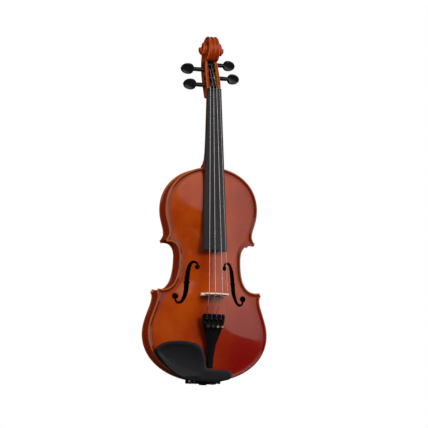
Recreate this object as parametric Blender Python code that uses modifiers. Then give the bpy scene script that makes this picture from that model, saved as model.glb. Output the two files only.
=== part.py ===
"""Full-size violin as an assembly: plates, ribs, blocks, linings, neck, fittings, pegs, strings,
fine tuners and a clamped chin rest.

Plan coordinates are millimetres: x across (treble side positive), v up the length from the lower
edge of the body, h out of the top plate, measured from the joint between top plate and ribs.
world() turns them into metres: v becomes +Z, h becomes -Y, and the origin is the centre of the end
button's outer face. Boolean operands end up in the "cutters" collection, hidden from renders.
"""

import math

import bmesh
import bpy
import numpy as np
from mathutils import Matrix, Vector

# ---------------------------------------------------------------- driving dimensions, millimetres
BUTTON_FACE_V = -4.5  # outer face of the end button
BUTTON_H = -15.5  # mid height of the ribs
GAP = 0.3  # clearance between neighbouring pieces

LOWER_HALF, LOWER_V = 103.3, 79.0  # widest place of the lower bout
WAIST_HALF, WAIST_V = 53.3, 206.0  # narrowest place of the middle bout
UPPER_HALF, UPPER_V = 80.0, 287.0  # widest place of the upper bout
BODY_LOW_V, BODY_TOP_V = 1.4, 357.8
LOWER_TIP = ((91.2, 146.6), (88.0, 151.8))  # lower corner, lower and upper end of its flat tip
UPPER_TIP = ((75.8, 229.0), (77.9, 233.2))

RIB_HEIGHT = 31.0
RIB_THICK = 1.2
OVERHANG = 2.6  # plate edge beyond the ribs
RIB_OUT, RIB_IN = OVERHANG, OVERHANG + RIB_THICK  # rib faces, inwards from the plate edge
RIB_SPAN = (-RIB_HEIGHT + GAP, -GAP)  # heights of ribs and blocks

ARCH_TOP = 15.5
ARCH_BACK = 15.0
PLATE_THICK = 3.0
EDGE_THICK = 3.9
CHANNEL_D = 6.0  # distance of the fluting's low line from the edge
CHANNEL_H = 2.8
PURFLING_IN, PURFLING_OUT, PURFLING_DEPTH = 5.2, 3.2, 1.7

NUT_V = 486.0
NUT_LENGTH = 4.4
BOARD_END_V = 216.0
BOARD_HALF_NUT, BOARD_HALF_END = 12.0, 21.0
BOARD_RADIUS = 42.0
BOARD_EDGE_NUT, BOARD_EDGE_END = -0.5, 29.5  # height of the fingerboard's top edge at each end
BOARD_EDGE_THICK = 4.6

NECK_HEEL_V = 350.5
HEEL_HALF_TOP, HEEL_HALF_LOW = 16.2, 9.8
HEEL_TOP, HEEL_LOW = 9.8, -RIB_HEIGHT + GAP

BRIDGE_V, BRIDGE_X = 145.0, 3.2
BRIDGE_THICK = 4.2

STRINGS = {  # name: (x at nut, x and h at bridge, x at tailpiece, radius)
    "g": (-8.25, -12.9, 45.0, -12.4, 0.42),
    "d": (-2.75, -3.5, 48.0, -4.2, 0.38),
    "a": (2.75, 9.1, 47.5, 4.2, 0.34),
    "e": (8.25, 19.6, 42.0, 12.4, 0.20),
}
PEGS = {  # name: (v, h, side of the head, distance of the head's middle from the pegbox's)
    "g": (496.8, -15.5, -1, 39.2),
    "e": (510.2, -20.5, 1, 38.0),
    "d": (524.2, -27.5, -1, 40.5),
    "a": (534.0, -33.5, 1, 33.8),
}
TAIL_TOP_V, TAIL_TOP_H = 112.0, 34.0  # wide end of the tailpiece
TAIL_END_V, TAIL_END_H = 23.0, 21.5  # narrow end
SADDLE_HALF = 17.5

# directions in the world for turned pieces
ALONG_V = (0, 0, 1)
ALONG_H = (0, -1, 0)

# rotations of flat outlines
PLAN = (math.pi / 2, 0.0, 0.0)  # drawn in x and v, thickness along h
ACROSS = (math.pi, 0.0, 0.0)  # drawn in x and h, thickness along v
SIDE = (math.pi / 2, 0.0, math.pi / 2)  # drawn in world y and z, thickness along x


# ---------------------------------------------------------------- scene and materials
for old in list(bpy.data.objects):
    bpy.data.objects.remove(old)
violin = bpy.data.collections.new("violin")
cutters = bpy.data.collections.new("cutters")
bpy.context.scene.collection.children.link(violin)
bpy.context.scene.collection.children.link(cutters)


def material(name, colour, roughness, metallic=0.0):
    mat = bpy.data.materials.new(name)
    mat.use_nodes = True
    shader = mat.node_tree.nodes["Principled BSDF"]
    shader.inputs["Base Color"].default_value = (*colour, 1.0)
    shader.inputs["Roughness"].default_value = roughness
    shader.inputs["Metallic"].default_value = metallic
    return mat


SPRUCE = material("spruce_top", colour=(0.36, 0.060, 0.008), roughness=0.22)
MAPLE = material("maple_body", colour=(0.26, 0.032, 0.006), roughness=0.24)
PLAIN_WOOD = material("bare_spruce", colour=(0.62, 0.42, 0.22), roughness=0.7)
PURFLE = material("purfling", colour=(0.05, 0.018, 0.014), roughness=0.4)
EBONY = material("ebony", colour=(0.018, 0.016, 0.018), roughness=0.4)
FITTING = material("black_fittings", colour=(0.012, 0.011, 0.012), roughness=0.22)
PALE_MAPLE = material("bridge_maple", colour=(0.72, 0.52, 0.34), roughness=0.5)
STEEL = material("steel_string", colour=(0.62, 0.62, 0.64), roughness=0.25, metallic=1.0)
BRASS = material("brass_screw", colour=(0.75, 0.55, 0.22), roughness=0.28, metallic=1.0)
CHROME = material("plated_clamp", colour=(0.75, 0.75, 0.77), roughness=0.15, metallic=1.0)
CORK = material("cork", colour=(0.42, 0.24, 0.12), roughness=0.9)
GUT = material("tailgut", colour=(0.03, 0.03, 0.03), roughness=0.5)


# ---------------------------------------------------------------- building helpers
def world(x, v, h):
    return Vector((x / 1000.0, -(h - BUTTON_H) / 1000.0, (v - BUTTON_FACE_V) / 1000.0))


def new_object(name, data, mat):
    """Links the data as a violin piece, or as a cutter when it has no material."""
    obj = bpy.data.objects.new(name, data)
    (violin if mat else cutters).objects.link(obj)
    if mat:
        data.materials.append(mat)
    return obj


def from_bmesh(name, bm, mat, smooth=True):
    bmesh.ops.remove_doubles(bm, verts=bm.verts, dist=1e-7)
    bmesh.ops.recalc_face_normals(bm, faces=bm.faces)
    if bm.calc_volume(signed=True) < 0:
        bmesh.ops.reverse_faces(bm, faces=bm.faces)
    bmesh.ops.triangulate(bm, faces=bm.faces)  # warped quads would confuse a Boolean
    mesh = bpy.data.meshes.new(name)
    bm.to_mesh(mesh)
    bm.free()
    if smooth:
        mesh.shade_smooth()
        mesh.set_sharp_from_angle(angle=math.radians(35))
    return new_object(name, mesh, mat)


def skin(bm, rows):
    """Quads between neighbouring closed rows of vertices."""
    n = len(rows[0])
    for a, b in zip(rows, rows[1:]):
        for i in range(n):
            j = (i + 1) % n
            bm.faces.new((a[i], a[j], b[j], b[i]))


def loft(name, rings, mat=None, smooth=True):
    """A solid through closed rings of equal point count, capped at both ends."""
    bm = bmesh.new()
    rows = [[bm.verts.new(p) for p in ring] for ring in rings]
    skin(bm, rows)
    bm.faces.new(rows[0])
    bm.faces.new(rows[-1])
    return from_bmesh(name, bm, mat, smooth)


def flat(name, outlines, origin, rotation, thickness, mat):
    """A filled 2D curve, holes as further outlines, extruded both ways to its thickness."""
    curve = bpy.data.curves.new(name, "CURVE")
    curve.dimensions = "2D"
    curve.fill_mode = "BOTH"
    curve.extrude = thickness / 2000.0
    for points in outlines:
        spline = curve.splines.new("POLY")
        spline.points.add(len(points) - 1)
        for target, (a, b) in zip(spline.points, points):
            target.co = (a / 1000.0, b / 1000.0, 0.0, 1.0)
        spline.use_cyclic_u = True
    obj = new_object(name, curve, mat)
    obj.location = origin
    obj.rotation_euler = rotation
    return obj


def plan_piece(name, outline, span, mat=None):
    """An outline in x and v, filling a span of heights."""
    low, high = span
    return flat(name, [outline], world(0, 0, (low + high) / 2), PLAN, high - low, mat)


def side_piece(name, outline, x, width, mat):
    """An outline in v and h, thickness along x."""
    points = [(-(h - BUTTON_H), v - BUTTON_FACE_V) for v, h in outline]
    return flat(name, [points], (x / 1000.0, 0, 0), SIDE, width, mat)


def meshed(obj):
    """The curve or modified object as one welded mesh, so that it can be cut or joined."""
    bpy.context.view_layer.update()
    deps = bpy.context.evaluated_depsgraph_get()
    mesh = bpy.data.meshes.new_from_object(obj.evaluated_get(deps))
    bm = bmesh.new()
    bm.from_mesh(mesh)
    bmesh.ops.remove_doubles(bm, verts=bm.verts, dist=1e-7)
    bmesh.ops.recalc_face_normals(bm, faces=bm.faces)
    bm.to_mesh(mesh)
    bm.free()
    name = obj.name
    mat = obj.data.materials[0] if obj.data.materials else None
    collection = obj.users_collection[0]
    matrix = obj.matrix_world.copy()
    bpy.data.objects.remove(obj)
    fresh = bpy.data.objects.new(name, mesh)
    collection.objects.link(fresh)
    fresh.matrix_world = matrix
    if mat and not mesh.materials:
        mesh.materials.append(mat)
    return fresh


def move_to(collection, obj):
    for current in list(obj.users_collection):
        current.objects.unlink(obj)
    collection.objects.link(obj)


def boolean(obj, other, operation, solver):
    modifier = obj.modifiers.new(operation.lower(), "BOOLEAN")
    modifier.operation = operation
    modifier.solver = solver
    modifier.object = other
    other.hide_render = True
    other.display_type = "WIRE"
    move_to(cutters, other)


def cut(obj, other, solver="EXACT"):
    boolean(obj, other, "DIFFERENCE", solver)


def join(obj, other, solver="EXACT"):
    boolean(obj, other, "UNION", solver)


def spun(name, profile, origin, axis, mat, steps, closed=False):
    """A profile of (radius, distance along the axis) spun by a Screw."""
    bm = bmesh.new()
    verts = [bm.verts.new((r / 1000.0, 0, z / 1000.0)) for r, z in profile]
    ends = verts[1:] + verts[:1] if closed else verts[1:]
    for a, b in zip(verts, ends):
        bm.edges.new((a, b))
    mesh = bpy.data.meshes.new(name)
    bm.to_mesh(mesh)
    bm.free()
    obj = new_object(name, mesh, mat)
    spin = obj.modifiers.new("spin", "SCREW")
    spin.axis = "Z"
    spin.steps = steps
    spin.render_steps = steps
    spin.use_merge_vertices = True
    spin.merge_threshold = 0.00001
    spin.use_smooth_shade = True
    obj.location = origin
    obj.rotation_euler = Vector((0, 0, 1)).rotation_difference(Vector(axis)).to_euler()
    return obj


def turned(name, profile, origin, axis, mat=None, steps=12):
    """A solid turned piece: its profile starts and ends on the axis, and the poles are welded."""
    obj = spun(name, profile, origin, axis, mat, steps)
    weld = obj.modifiers.new("weld", "WELD")
    weld.merge_threshold = 0.00001
    return obj


def rod(radius, top, low):
    """Profile of a plain cylinder."""
    return [(0, top), (radius, top), (radius, low), (0, low)]


def tube(name, points, radius, mat):
    """A round wire through (x, v, h) points."""
    curve = bpy.data.curves.new(name, "CURVE")
    curve.dimensions = "3D"
    curve.bevel_depth = radius / 1000.0
    curve.bevel_resolution = 1
    curve.use_fill_caps = True
    spline = curve.splines.new("POLY")
    spline.points.add(len(points) - 1)
    for target, point in zip(spline.points, points):
        target.co = (*world(*point), 1.0)
    return new_object(name, curve, mat)


def box(name, x_span, v_span, h_span, mat=None):
    bpy.ops.mesh.primitive_cube_add(size=1.0)
    obj = bpy.context.active_object
    obj.name = obj.data.name = name
    move_to(violin if mat else cutters, obj)
    if mat:
        obj.data.materials.append(mat)
    low = world(x_span[0], v_span[0], h_span[1])
    high = world(x_span[1], v_span[1], h_span[0])
    obj.data.transform(Matrix.Diagonal((*(high - low), 1.0)))
    obj.location = (low + high) / 2
    return obj


def oval(x, y, half_x, half_y, n):
    angles = np.linspace(0, 2 * math.pi, n, endpoint=False)
    return [(x + half_x * math.cos(a), y + half_y * math.sin(a)) for a in angles]


def mirrored(outline):
    return [(-x, v) for x, v in outline][::-1]


def both_sides(outline):
    return (("treble", outline), ("bass", mirrored(outline)))


# ---------------------------------------------------------------- body outline
(LOW_X, LOW_Y), (LOW_X2, LOW_Y2) = LOWER_TIP
(UP_X, UP_Y), (UP_X2, UP_Y2) = UPPER_TIP

# Treble half from bottom to top, two cubics a bout: four control points, (segments in the plates,
# segments in the ribs), (heights of the spine points its first and last points look to)
BOUTS = {
    "lower": (
        (((0, BODY_LOW_V), (55, BODY_LOW_V), (LOWER_HALF, LOWER_V - 47), (LOWER_HALF, LOWER_V)),
         (7, 10), (50, 90)),
        (((LOWER_HALF, LOWER_V), (LOWER_HALF, LOWER_V + 29), (LOW_X - 9.9, LOW_Y - 11.7),
          (LOW_X, LOW_Y)), (6, 8), (90, 132)),
    ),
    "middle": (
        (((LOW_X2, LOW_Y2), (LOW_X2 - 26, LOW_Y2 - 5), (WAIST_HALF, WAIST_V - 36),
          (WAIST_HALF, WAIST_V)), (6, 9), (137, 194)),
        (((WAIST_HALF, WAIST_V), (WAIST_HALF, WAIST_V + 14), (UP_X - 17.4, UP_Y + 3.3),
          (UP_X, UP_Y)), (4, 6), (194, 242)),
    ),
    "upper": (
        (((UP_X2, UP_Y2), (UP_X2 - 13.9, UP_Y2 + 13.5), (UPPER_HALF, UPPER_V - 27.6),
          (UPPER_HALF, UPPER_V)), (4, 6), (247, 280)),
        (((UPPER_HALF, UPPER_V), (UPPER_HALF, UPPER_V + 44.6), (42.6, BODY_TOP_V),
          (0, BODY_TOP_V)), (6, 9), (280, 312)),
    ),
}
IN_PLATES, IN_RIBS = 0, 1  # which segment count of BOUTS to use


def bezier(controls, n):
    p0, p1, p2, p3 = (np.array(p, float) for p in controls)
    t = np.linspace(0, 1, n + 1)[:, None]
    return (1 - t) ** 3 * p0 + 3 * (1 - t) ** 2 * t * p1 + 3 * (1 - t) * t * t * p2 + t**3 * p3


def bout_curve(bout, use):
    first, second = (bezier(controls, counts[use]) for controls, counts, _ in BOUTS[bout])
    return np.vstack([first, second[1:]])


def bout_spine(bout):
    """Spine height for each plate point of a bout."""
    first, second = (np.linspace(*ends, counts[IN_PLATES] + 1) for _, counts, ends in BOUTS[bout])
    return np.concatenate([first, second[1:]])


HALF_POINTS = np.vstack([bout_curve(bout, IN_PLATES) for bout in BOUTS])
HALF_SPINE = np.concatenate([bout_spine(bout) for bout in BOUTS])
# once round; the first point and the topmost one lie on the middle line
RING_POINTS = np.vstack([HALF_POINTS, HALF_POINTS[1:-1][::-1] * (-1, 1)])
RING_SPINE = np.concatenate([HALF_SPINE, HALF_SPINE[1:-1][::-1]])
SPINE_POINTS = np.stack([np.zeros(len(RING_SPINE)), RING_SPINE], 1)
RING_REACH = np.linalg.norm(SPINE_POINTS - RING_POINTS, axis=1)[:, None]  # edge to spine

# ---------------------------------------------------------------- plates and purfling
ARCH_MID_V, ARCH_HALF_LENGTH, ARCH_DROP = 181.0, 131.0, 1.6  # the long arch along the spine
MARGIN_H = 3.3  # height of the margin at the purfling's outer side


def arch_height(share, spine, apex):
    """Height at a share of the way from the fluting to the spine."""
    long_arch = apex - ARCH_DROP * ((spine - ARCH_MID_V) / ARCH_HALF_LENGTH) ** 2
    rise = (1 - np.cos(np.pi * np.clip(share, 0, 1) ** 0.88)) / 2
    return CHANNEL_H + (long_arch - CHANNEL_H) * rise


def edge_rings(stations):
    """Rings of (plan points, heights) at (distance from the edge, height)."""
    inwards = SPINE_POINTS - RING_POINTS
    return [
        (RING_POINTS + inwards * d / RING_REACH, np.full(len(RING_POINTS), h))
        for d, h in stations
    ]


def arch_rings(apex, shares):
    """Rings over the arch at shares of the way from the fluting to the spine."""
    rings = []
    for share in shares:
        t = CHANNEL_D / RING_REACH + (1 - CHANNEL_D / RING_REACH) * share
        points = RING_POINTS + (SPINE_POINTS - RING_POINTS) * t
        rings.append((points, arch_height(share, RING_SPINE, apex)))
    return rings


def plate_rows(bm, rings, up):
    """Vertices of rings on the top (up 1) or the back (up -1)."""
    base = 0.0 if up > 0 else -RIB_HEIGHT
    return [
        [bm.verts.new(world(x, v, base + up * z)) for (x, v), z in zip(points, heights)]
        for points, heights in rings
    ]


def plate(name, apex, up, mat):
    """An arched plate: outer face with its purfling groove, edge, gluing margin, hollow inside."""
    groove_floor = MARGIN_H - PURFLING_DEPTH
    outer = edge_rings([
        (0.0, 0.9), (0.0, 2.9), (1.1, EDGE_THICK), (PURFLING_OUT, MARGIN_H),
        (PURFLING_OUT, groove_floor), (PURFLING_IN, groove_floor), (PURFLING_IN, 2.9),
    ]) + arch_rings(apex, [0.2, 0.46, 0.8])
    inner = edge_rings([(0.5, 0.0), (12.5, 0.0)])
    for points, heights in arch_rings(apex, [0.46, 0.8]):
        inner.append((points, np.maximum(heights - PLATE_THICK, 0.0)))
    bm = bmesh.new()
    rows = plate_rows(bm, outer[::-1] + inner, up)
    skin(bm, rows)
    n = len(rows[0])
    half = n // 2
    for row in (rows[0], rows[-1]):  # close over the spine, from each treble point to its bass twin
        bm.faces.new((row[0], row[1], row[n - 1]))
        bm.faces.new((row[half], row[half + 1], row[half - 1]))
        for i in range(1, half - 1):
            bm.faces.new((row[i], row[i + 1], row[n - i - 1], row[n - i]))
    return from_bmesh(name, bm, mat)


def purfling(name, up):
    """The inlaid strip in the plate's margin."""
    low = 1.9
    outer, inner = PURFLING_OUT + GAP, PURFLING_IN - GAP
    bm = bmesh.new()
    rows = plate_rows(bm, edge_rings([(outer, low), (outer, 3.2), (inner, 3.0), (inner, low)]), up)
    skin(bm, rows + rows[:1])
    return from_bmesh(name, bm, PURFLE)


def arch_over(x, v, apex=ARCH_TOP):
    """Height of a plate's outer face at a point near the middle, from the plates' own rings."""
    steps = 24  # trial lines to the spine per outline segment
    best_miss, height = math.inf, None
    for i in range(len(HALF_POINTS) - 1):
        for k in range(steps):
            f = k / steps
            edge = HALF_POINTS[i] * (1 - f) + HALF_POINTS[i + 1] * f
            spine = HALF_SPINE[i] * (1 - f) + HALF_SPINE[i + 1] * f
            if edge[0] < 1e-6 or abs(x) >= edge[0]:
                continue
            t = 1 - abs(x) / edge[0]
            miss = abs(edge[1] + (spine - edge[1]) * t - v)
            if miss < best_miss:
                reach = math.hypot(edge[0], edge[1] - spine)
                share = (t * reach - CHANNEL_D) / (reach - CHANNEL_D)
                best_miss, height = miss, float(arch_height(share, spine, apex))
    return height


def heel_half(h):
    """Half width of the heel at height h, straight-sided between its top and the button."""
    f = (HEEL_TOP - h) / (HEEL_TOP - HEEL_LOW)
    return HEEL_HALF_TOP + (HEEL_HALF_LOW - HEEL_HALF_TOP) * f


def heel_notch(name, low_v, low_h):
    """Wedge-shaped cutter around the heel, from low_v to beyond the body and down to low_h."""
    high_v, high_h = 372, 9.0
    rings = []
    for h in (high_h, low_h):
        half = heel_half(h) + GAP
        corners = ((half, low_v), (half, high_v), (-half, high_v), (-half, low_v))
        rings.append([world(x, v, h) for x, v in corners])
    return loft(name, rings, smooth=False)


def back():
    """Back plate with its half-round button under the heel, and its purfling."""
    back_plate = plate("back_plate", ARCH_BACK, -1, MAPLE)
    half, length, middle_v, low_v = 10.2, 12.2, 357.0, 355.4
    angles = np.linspace(0, math.pi, 11)
    outline = [(half * math.cos(a), middle_v + length * math.sin(a)) for a in angles]
    outline = [(half, low_v)] + outline + [(-half, low_v)]
    span = (-RIB_HEIGHT - 3.6, -RIB_HEIGHT - 0.3)
    join(back_plate, meshed(plan_piece("back_button", outline, span, MAPLE)))
    purfling("purfling_back", -1)


# F-hole stem, treble side, from the upper eye to the lower: (x, v, width)
F_STEM = np.array([
    (23.7, 191.6, 2.6), (24.6, 197.0, 3.0), (29.2, 199.6, 4.0), (33.8, 197.6, 5.0),
    (36.6, 191.5, 6.2), (38.6, 180.0, 7.4), (40.0, 164.5, 7.9), (41.3, 150.0, 7.4),
    (44.4, 139.0, 6.2), (48.5, 131.8, 5.0), (53.6, 129.6, 4.0), (58.0, 132.6, 3.2),
    (59.4, 139.6, 2.8),
])
F_EYES = ((24.3, 191.0, 4.0), (58.8, 140.2, 5.3))  # (x, v, radius)
F_SPAN = (-3, 24)  # heights the cutters pass through


def normals(curve):
    """Unit normals to the left of a curve's direction."""
    tangent = np.gradient(curve, axis=0)
    tangent /= np.linalg.norm(tangent, axis=1)[:, None]
    return np.stack([-tangent[:, 1], tangent[:, 0]], 1)


def cut_f_hole(top_plate, sign):
    line = F_STEM[:, :2] * (sign, 1)
    offset = normals(line) * (F_STEM[:, 2:] / 2)
    stem = np.vstack([line + offset, (line - offset)[::-1]])
    if sign < 0:
        stem = stem[::-1]
    cut(top_plate, meshed(plan_piece(f"f_stem_{sign}", stem, F_SPAN)))
    for k, (x, v, radius) in enumerate(F_EYES):
        eye = plan_piece(f"f_eye_{sign}_{k}", oval(x * sign, v, radius, radius, 14), F_SPAN)
        cut(top_plate, meshed(eye))


def top():
    """Top plate, notched for heel and saddle, with f-holes and two runs of purfling."""
    top_plate = plate("top_plate", ARCH_TOP, 1, SPRUCE)
    notches = (
        heel_notch("plate_notch", NECK_HEEL_V - GAP, -4.0),
        box("saddle_notch", (-SADDLE_HALF - GAP, SADDLE_HALF + GAP), (-6, 7.3), (-1, 6)),
    )
    for notch in notches:
        cut(top_plate, notch)
    # each run loses the other side of the body
    for side, other, x_span in (("treble", "bass", (-120, -2)), ("bass", "treble", (2, 120))):
        strip = purfling(f"purfling_top_{side}", 1)
        for notch in notches:
            cut(strip, notch)
        cut(strip, box(f"{other}_half", x_span, (-8, 370), (-2, 8)))
    for sign in (1, -1):
        cut_f_hole(top_plate, sign)


# ---------------------------------------------------------------- ribs, linings and blocks
CORNER_REACH = 23.0  # length of a corner block from its tip
BLOCK_EDGE = RIB_IN + GAP  # outer face of blocks and linings, inwards from the plate edge
LINING_THICK = 2.0
END_HALF = 25.0  # half width of the end block


def inset(bout, d):
    """The treble curve of a bout moved inwards, to the left of its direction, by d."""
    curve = bout_curve(bout, IN_RIBS)
    return curve + normals(curve) * d


def distance(curve, point):
    return np.linalg.norm(curve - point, axis=1)


def clip(curve, point, normal, within=None):
    """Keeps the part of a curve on the side of a line that its normal points to, with the exact
    crossing added. With a reach, points further than that from the line's point are kept too."""
    side = (curve - point) @ normal
    if within:
        side = np.where(distance(curve, point) > within, 1.0, side)
    kept = []
    for i in range(len(curve)):
        if i and (side[i] > 0) != (side[i - 1] > 0):
            f = side[i - 1] / (side[i - 1] - side[i])
            kept.append(curve[i - 1] + (curve[i] - curve[i - 1]) * f)
        if side[i] > 0:
            kept.append(curve[i])
    return np.array(kept)


def corner_line(tip):
    """Mitre line of a corner: a point on it, the unit direction up the body square to it, and
    the unit direction outwards along it."""
    start, end = np.array(tip)
    up = (end - start) / np.linalg.norm(end - start)
    return (start + end) / 2, up, np.array([up[1], -up[0]])


CORNERS = {"lower": corner_line(LOWER_TIP), "upper": corner_line(UPPER_TIP)}


def strip_outline(bout, d_out, d_in, corner_clear, centre_clear):
    """The strip between two insets of a bout, mitred or stopped short at its corners, and ending
    short of the middle line."""
    sides = []
    for d in (d_out, d_in):
        run = inset(bout, d)
        if bout != "upper":
            mid, up, out = CORNERS["lower"]
            run = clip(run, mid - out * OVERHANG, -out, 20.0)
            run = clip(run, mid, -up) if bout == "lower" else clip(run, mid + up * GAP, up)
        if bout != "lower":
            mid, up, out = CORNERS["upper"]
            run = clip(run, mid - out * OVERHANG, -out, 20.0)
            run = clip(run, mid - up * GAP, -up) if bout == "middle" else clip(run, mid, up)
        if bout != "middle":
            run = clip(run, np.array([centre_clear, 0]), np.array([1.0, 0]))
        for mid, _, _ in CORNERS.values():
            run = run[distance(run, mid) > corner_clear]
        sides.append(run)
    return np.vstack([sides[0], sides[1][::-1]])


def ribs(button_bore):
    rib_notch = heel_notch("neck_notch", NECK_HEEL_V - GAP - 12, -RIB_HEIGHT + GAP / 2)
    # bout: (distance of the ribs' ends from the middle line, cutter)
    details = {"upper": (6.0, rib_notch), "middle": (0.0, None), "lower": (GAP / 2, button_bore)}
    for bout, (centre_clear, cutter) in details.items():
        outline = strip_outline(bout, RIB_OUT, RIB_IN, 0.0, centre_clear)
        for side, points in both_sides(outline):
            rib = plan_piece(f"rib_{bout}_{side}", points, RIB_SPAN, MAPLE)
            if cutter:
                cut(meshed(rib), cutter)


def linings():
    """Strips inside the ribs under the top plate, between the blocks."""
    for bout in BOUTS:
        outline = strip_outline(
            bout, BLOCK_EDGE, BLOCK_EDGE + LINING_THICK, CORNER_REACH + 1.0, centre_clear=28.0
        )
        for side, points in both_sides(outline):
            plan_piece(f"lining_{bout}_{side}", points, (-7.5, -GAP), PLAIN_WOOD)


def corner_blocks():
    """Three-sided blocks behind the corners, inside both ribs."""
    for corner, below, above in (("lower", "lower", "middle"), ("upper", "middle", "upper")):
        mid, up, _ = CORNERS[corner]
        low = clip(inset(below, BLOCK_EDGE), mid, -up)
        high = clip(inset(above, BLOCK_EDGE), mid, up)
        outline = np.vstack([run[distance(run, mid) < CORNER_REACH] for run in (low, high)])
        for side, points in both_sides(outline):
            plan_piece(f"corner_block_{corner}_{side}", points, RIB_SPAN, PLAIN_WOOD)


def end_block(button_bore):
    curve = clip(inset("lower", BLOCK_EDGE), np.array([END_HALF, 0]), np.array([-1.0, 0]))
    half = [tuple(q) for q in curve if q[0] > 0.5]
    upper = [(END_HALF, 15.0), (20.0, 20.0), (-20.0, 20.0), (-END_HALF, 15.0)]
    outline = half + upper + mirrored(half)
    cut(meshed(plan_piece("end_block", outline, RIB_SPAN, PLAIN_WOOD)), button_bore)


def neck_block():
    """Block below the heel, its upper face stepped down where the heel meets it."""
    seat_v = NECK_HEEL_V - GAP
    outline = [
        (-27, 334), (-22, 329), (22, 329), (27, 334), (27, 348.5), (17.4, 350.0),
        (17.0, seat_v), (-17.0, seat_v), (-17.4, 350.0), (-27, 348.5),
    ]
    plan_piece("neck_block", outline, RIB_SPAN, PLAIN_WOOD)


# ---------------------------------------------------------------- bass bar and sound post
BAR_X, BAR_WIDTH = 17.0, 5.5
BAR_LOW_V, BAR_HIGH_V = 66, 296
POST_X, POST_V, POST_RADIUS = 20.0, 138.0, 3.1
POST_CLEAR = 1.5


def bass_bar():
    """Bar under the bass side of the top, deepest at mid length."""
    upper = [
        (v, arch_over(BAR_X, v) - PLATE_THICK - 2.2) for v in np.linspace(BAR_LOW_V, BAR_HIGH_V, 11)
    ]
    length = BAR_HIGH_V - BAR_LOW_V
    lower = [(v, h - 1.5 - 9.0 * math.sin(math.pi * (v - BAR_LOW_V) / length)) for v, h in upper]
    side_piece("bass_bar", upper + lower[::-1], -BAR_X, BAR_WIDTH, PLAIN_WOOD)


def sound_post():
    high = arch_over(POST_X, POST_V) - PLATE_THICK - POST_CLEAR
    low = -RIB_HEIGHT - (arch_over(POST_X, POST_V, ARCH_BACK) - PLATE_THICK) + POST_CLEAR
    profile = rod(POST_RADIUS, high, low)
    turned("sound_post", profile, world(POST_X, POST_V, 0), ALONG_H, PLAIN_WOOD)


# ---------------------------------------------------------------- saddle and end button
def saddle():
    """Ebony block let into the lower end of the top plate."""
    outline = [(2.0, GAP), (2.0, 5.2), (3.6, 8.0), (5.4, 7.6), (7.0, 4.6), (7.0, GAP)]
    side_piece("saddle", outline, 0.0, 2 * SADDLE_HALF, EBONY)


END_BUTTON = [  # (radius, distance from the outer face): pin, collar, waist, head
    (0, 22.0), (3.4, 22.0), (3.9, 8.1), (6.2, 8.1), (5.9, 6.9), (4.7, 6.4),
    (4.7, 3.7), (6.6, 3.2), (7.2, 2.0), (6.6, 0.8), (4.6, 0), (0, 0),
]


def end_button():
    """The button; returns the cutter for its hole through ribs and end block."""
    face = world(0, BUTTON_FACE_V, BUTTON_H)
    turned("end_button", END_BUTTON, face, ALONG_V, EBONY, steps=20)
    return turned("button_bore", rod(4.3, 30.0, 4.0), face, ALONG_V, steps=20)


# ---------------------------------------------------------------- neck shaft
NECK_END_V = 489.5
SHAFT_V = 388.0  # the shaft's depth tapers from here to the neck's end
SHAFT_DEPTH, SHAFT_GROWTH = 14.6, 2.9  # depth at the neck's end, growth down to SHAFT_V
HEEL_STATIONS = [  # (v, lowest h, power of the rounding, taper)
    (NECK_HEEL_V, HEEL_LOW, 6.0, 0.395), (367.0, HEEL_LOW, 6.0, 0.395),
    (368.8, -28.0, 4.6, 0.37), (372.5, -24.0, 3.6, 0.31), (379.0, -19.6, 2.9, 0.2),
    (SHAFT_V, -16.2, 2.5, 0.1), (400.0, -13.9, 2.3, 0.0),
]


def board_share(v):
    """Share of the way from the nut to the fingerboard's free end."""
    return (NUT_V - v) / (NUT_V - BOARD_END_V)


def board_edge(v):
    """Height of the fingerboard's top edge over v."""
    return BOARD_EDGE_NUT + (BOARD_EDGE_END - BOARD_EDGE_NUT) * board_share(v)


def board_half(v):
    return BOARD_HALF_NUT + (BOARD_HALF_END - BOARD_HALF_NUT) * board_share(v)


def board_top(x, v):
    """Height of the cambered playing surface."""
    edge_drop = math.sqrt(BOARD_RADIUS**2 - board_half(v) ** 2)
    return board_edge(v) + math.sqrt(BOARD_RADIUS**2 - x * x) - edge_drop


def neck_top(v):
    return board_edge(v) - BOARD_EDGE_THICK - GAP


def neck_section(v, half, bottom, power, taper):
    """A D section: flat on top, rounded below, narrowing downwards by its taper."""
    high = neck_top(v)
    n = 7
    points = [(half, high), (-half, high)]
    for k in range(1, n):
        c, s = math.cos(math.pi * k / n), math.sin(math.pi * k / n)
        drop = abs(s) ** (2 / power)
        x = -half * (1 - taper * drop) * math.copysign(abs(c) ** (2 / power), c)
        points.append((x, high - (high - bottom) * drop))
    return [world(x, v, h) for x, h in points]


def neck_shaft():
    """One loft from the body to the nut: heel, its curve, then the slim shaft."""
    sections = []
    for v, low, power, taper in HEEL_STATIONS:
        half = min(board_half(v) - 0.4, HEEL_HALF_TOP)
        sections.append(neck_section(v, half, low, power, taper))
    for v in (415, 440, 470, NECK_END_V):
        f = (NECK_END_V - v) / (NECK_END_V - SHAFT_V)
        low = neck_top(v) - SHAFT_DEPTH - SHAFT_GROWTH * f
        sections.append(neck_section(v, board_half(v) - 0.4, low, 2.3, 0.0))
    return loft("neck", sections, MAPLE)


# ---------------------------------------------------------------- pegbox
SCROLL_V, SCROLL_H = 557.0, -27.5  # middle of the volute
SCROLL_R0, SCROLL_R1 = 26.4, 4.6  # its first and last radius
SCROLL_TURNS = 2.1

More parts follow.
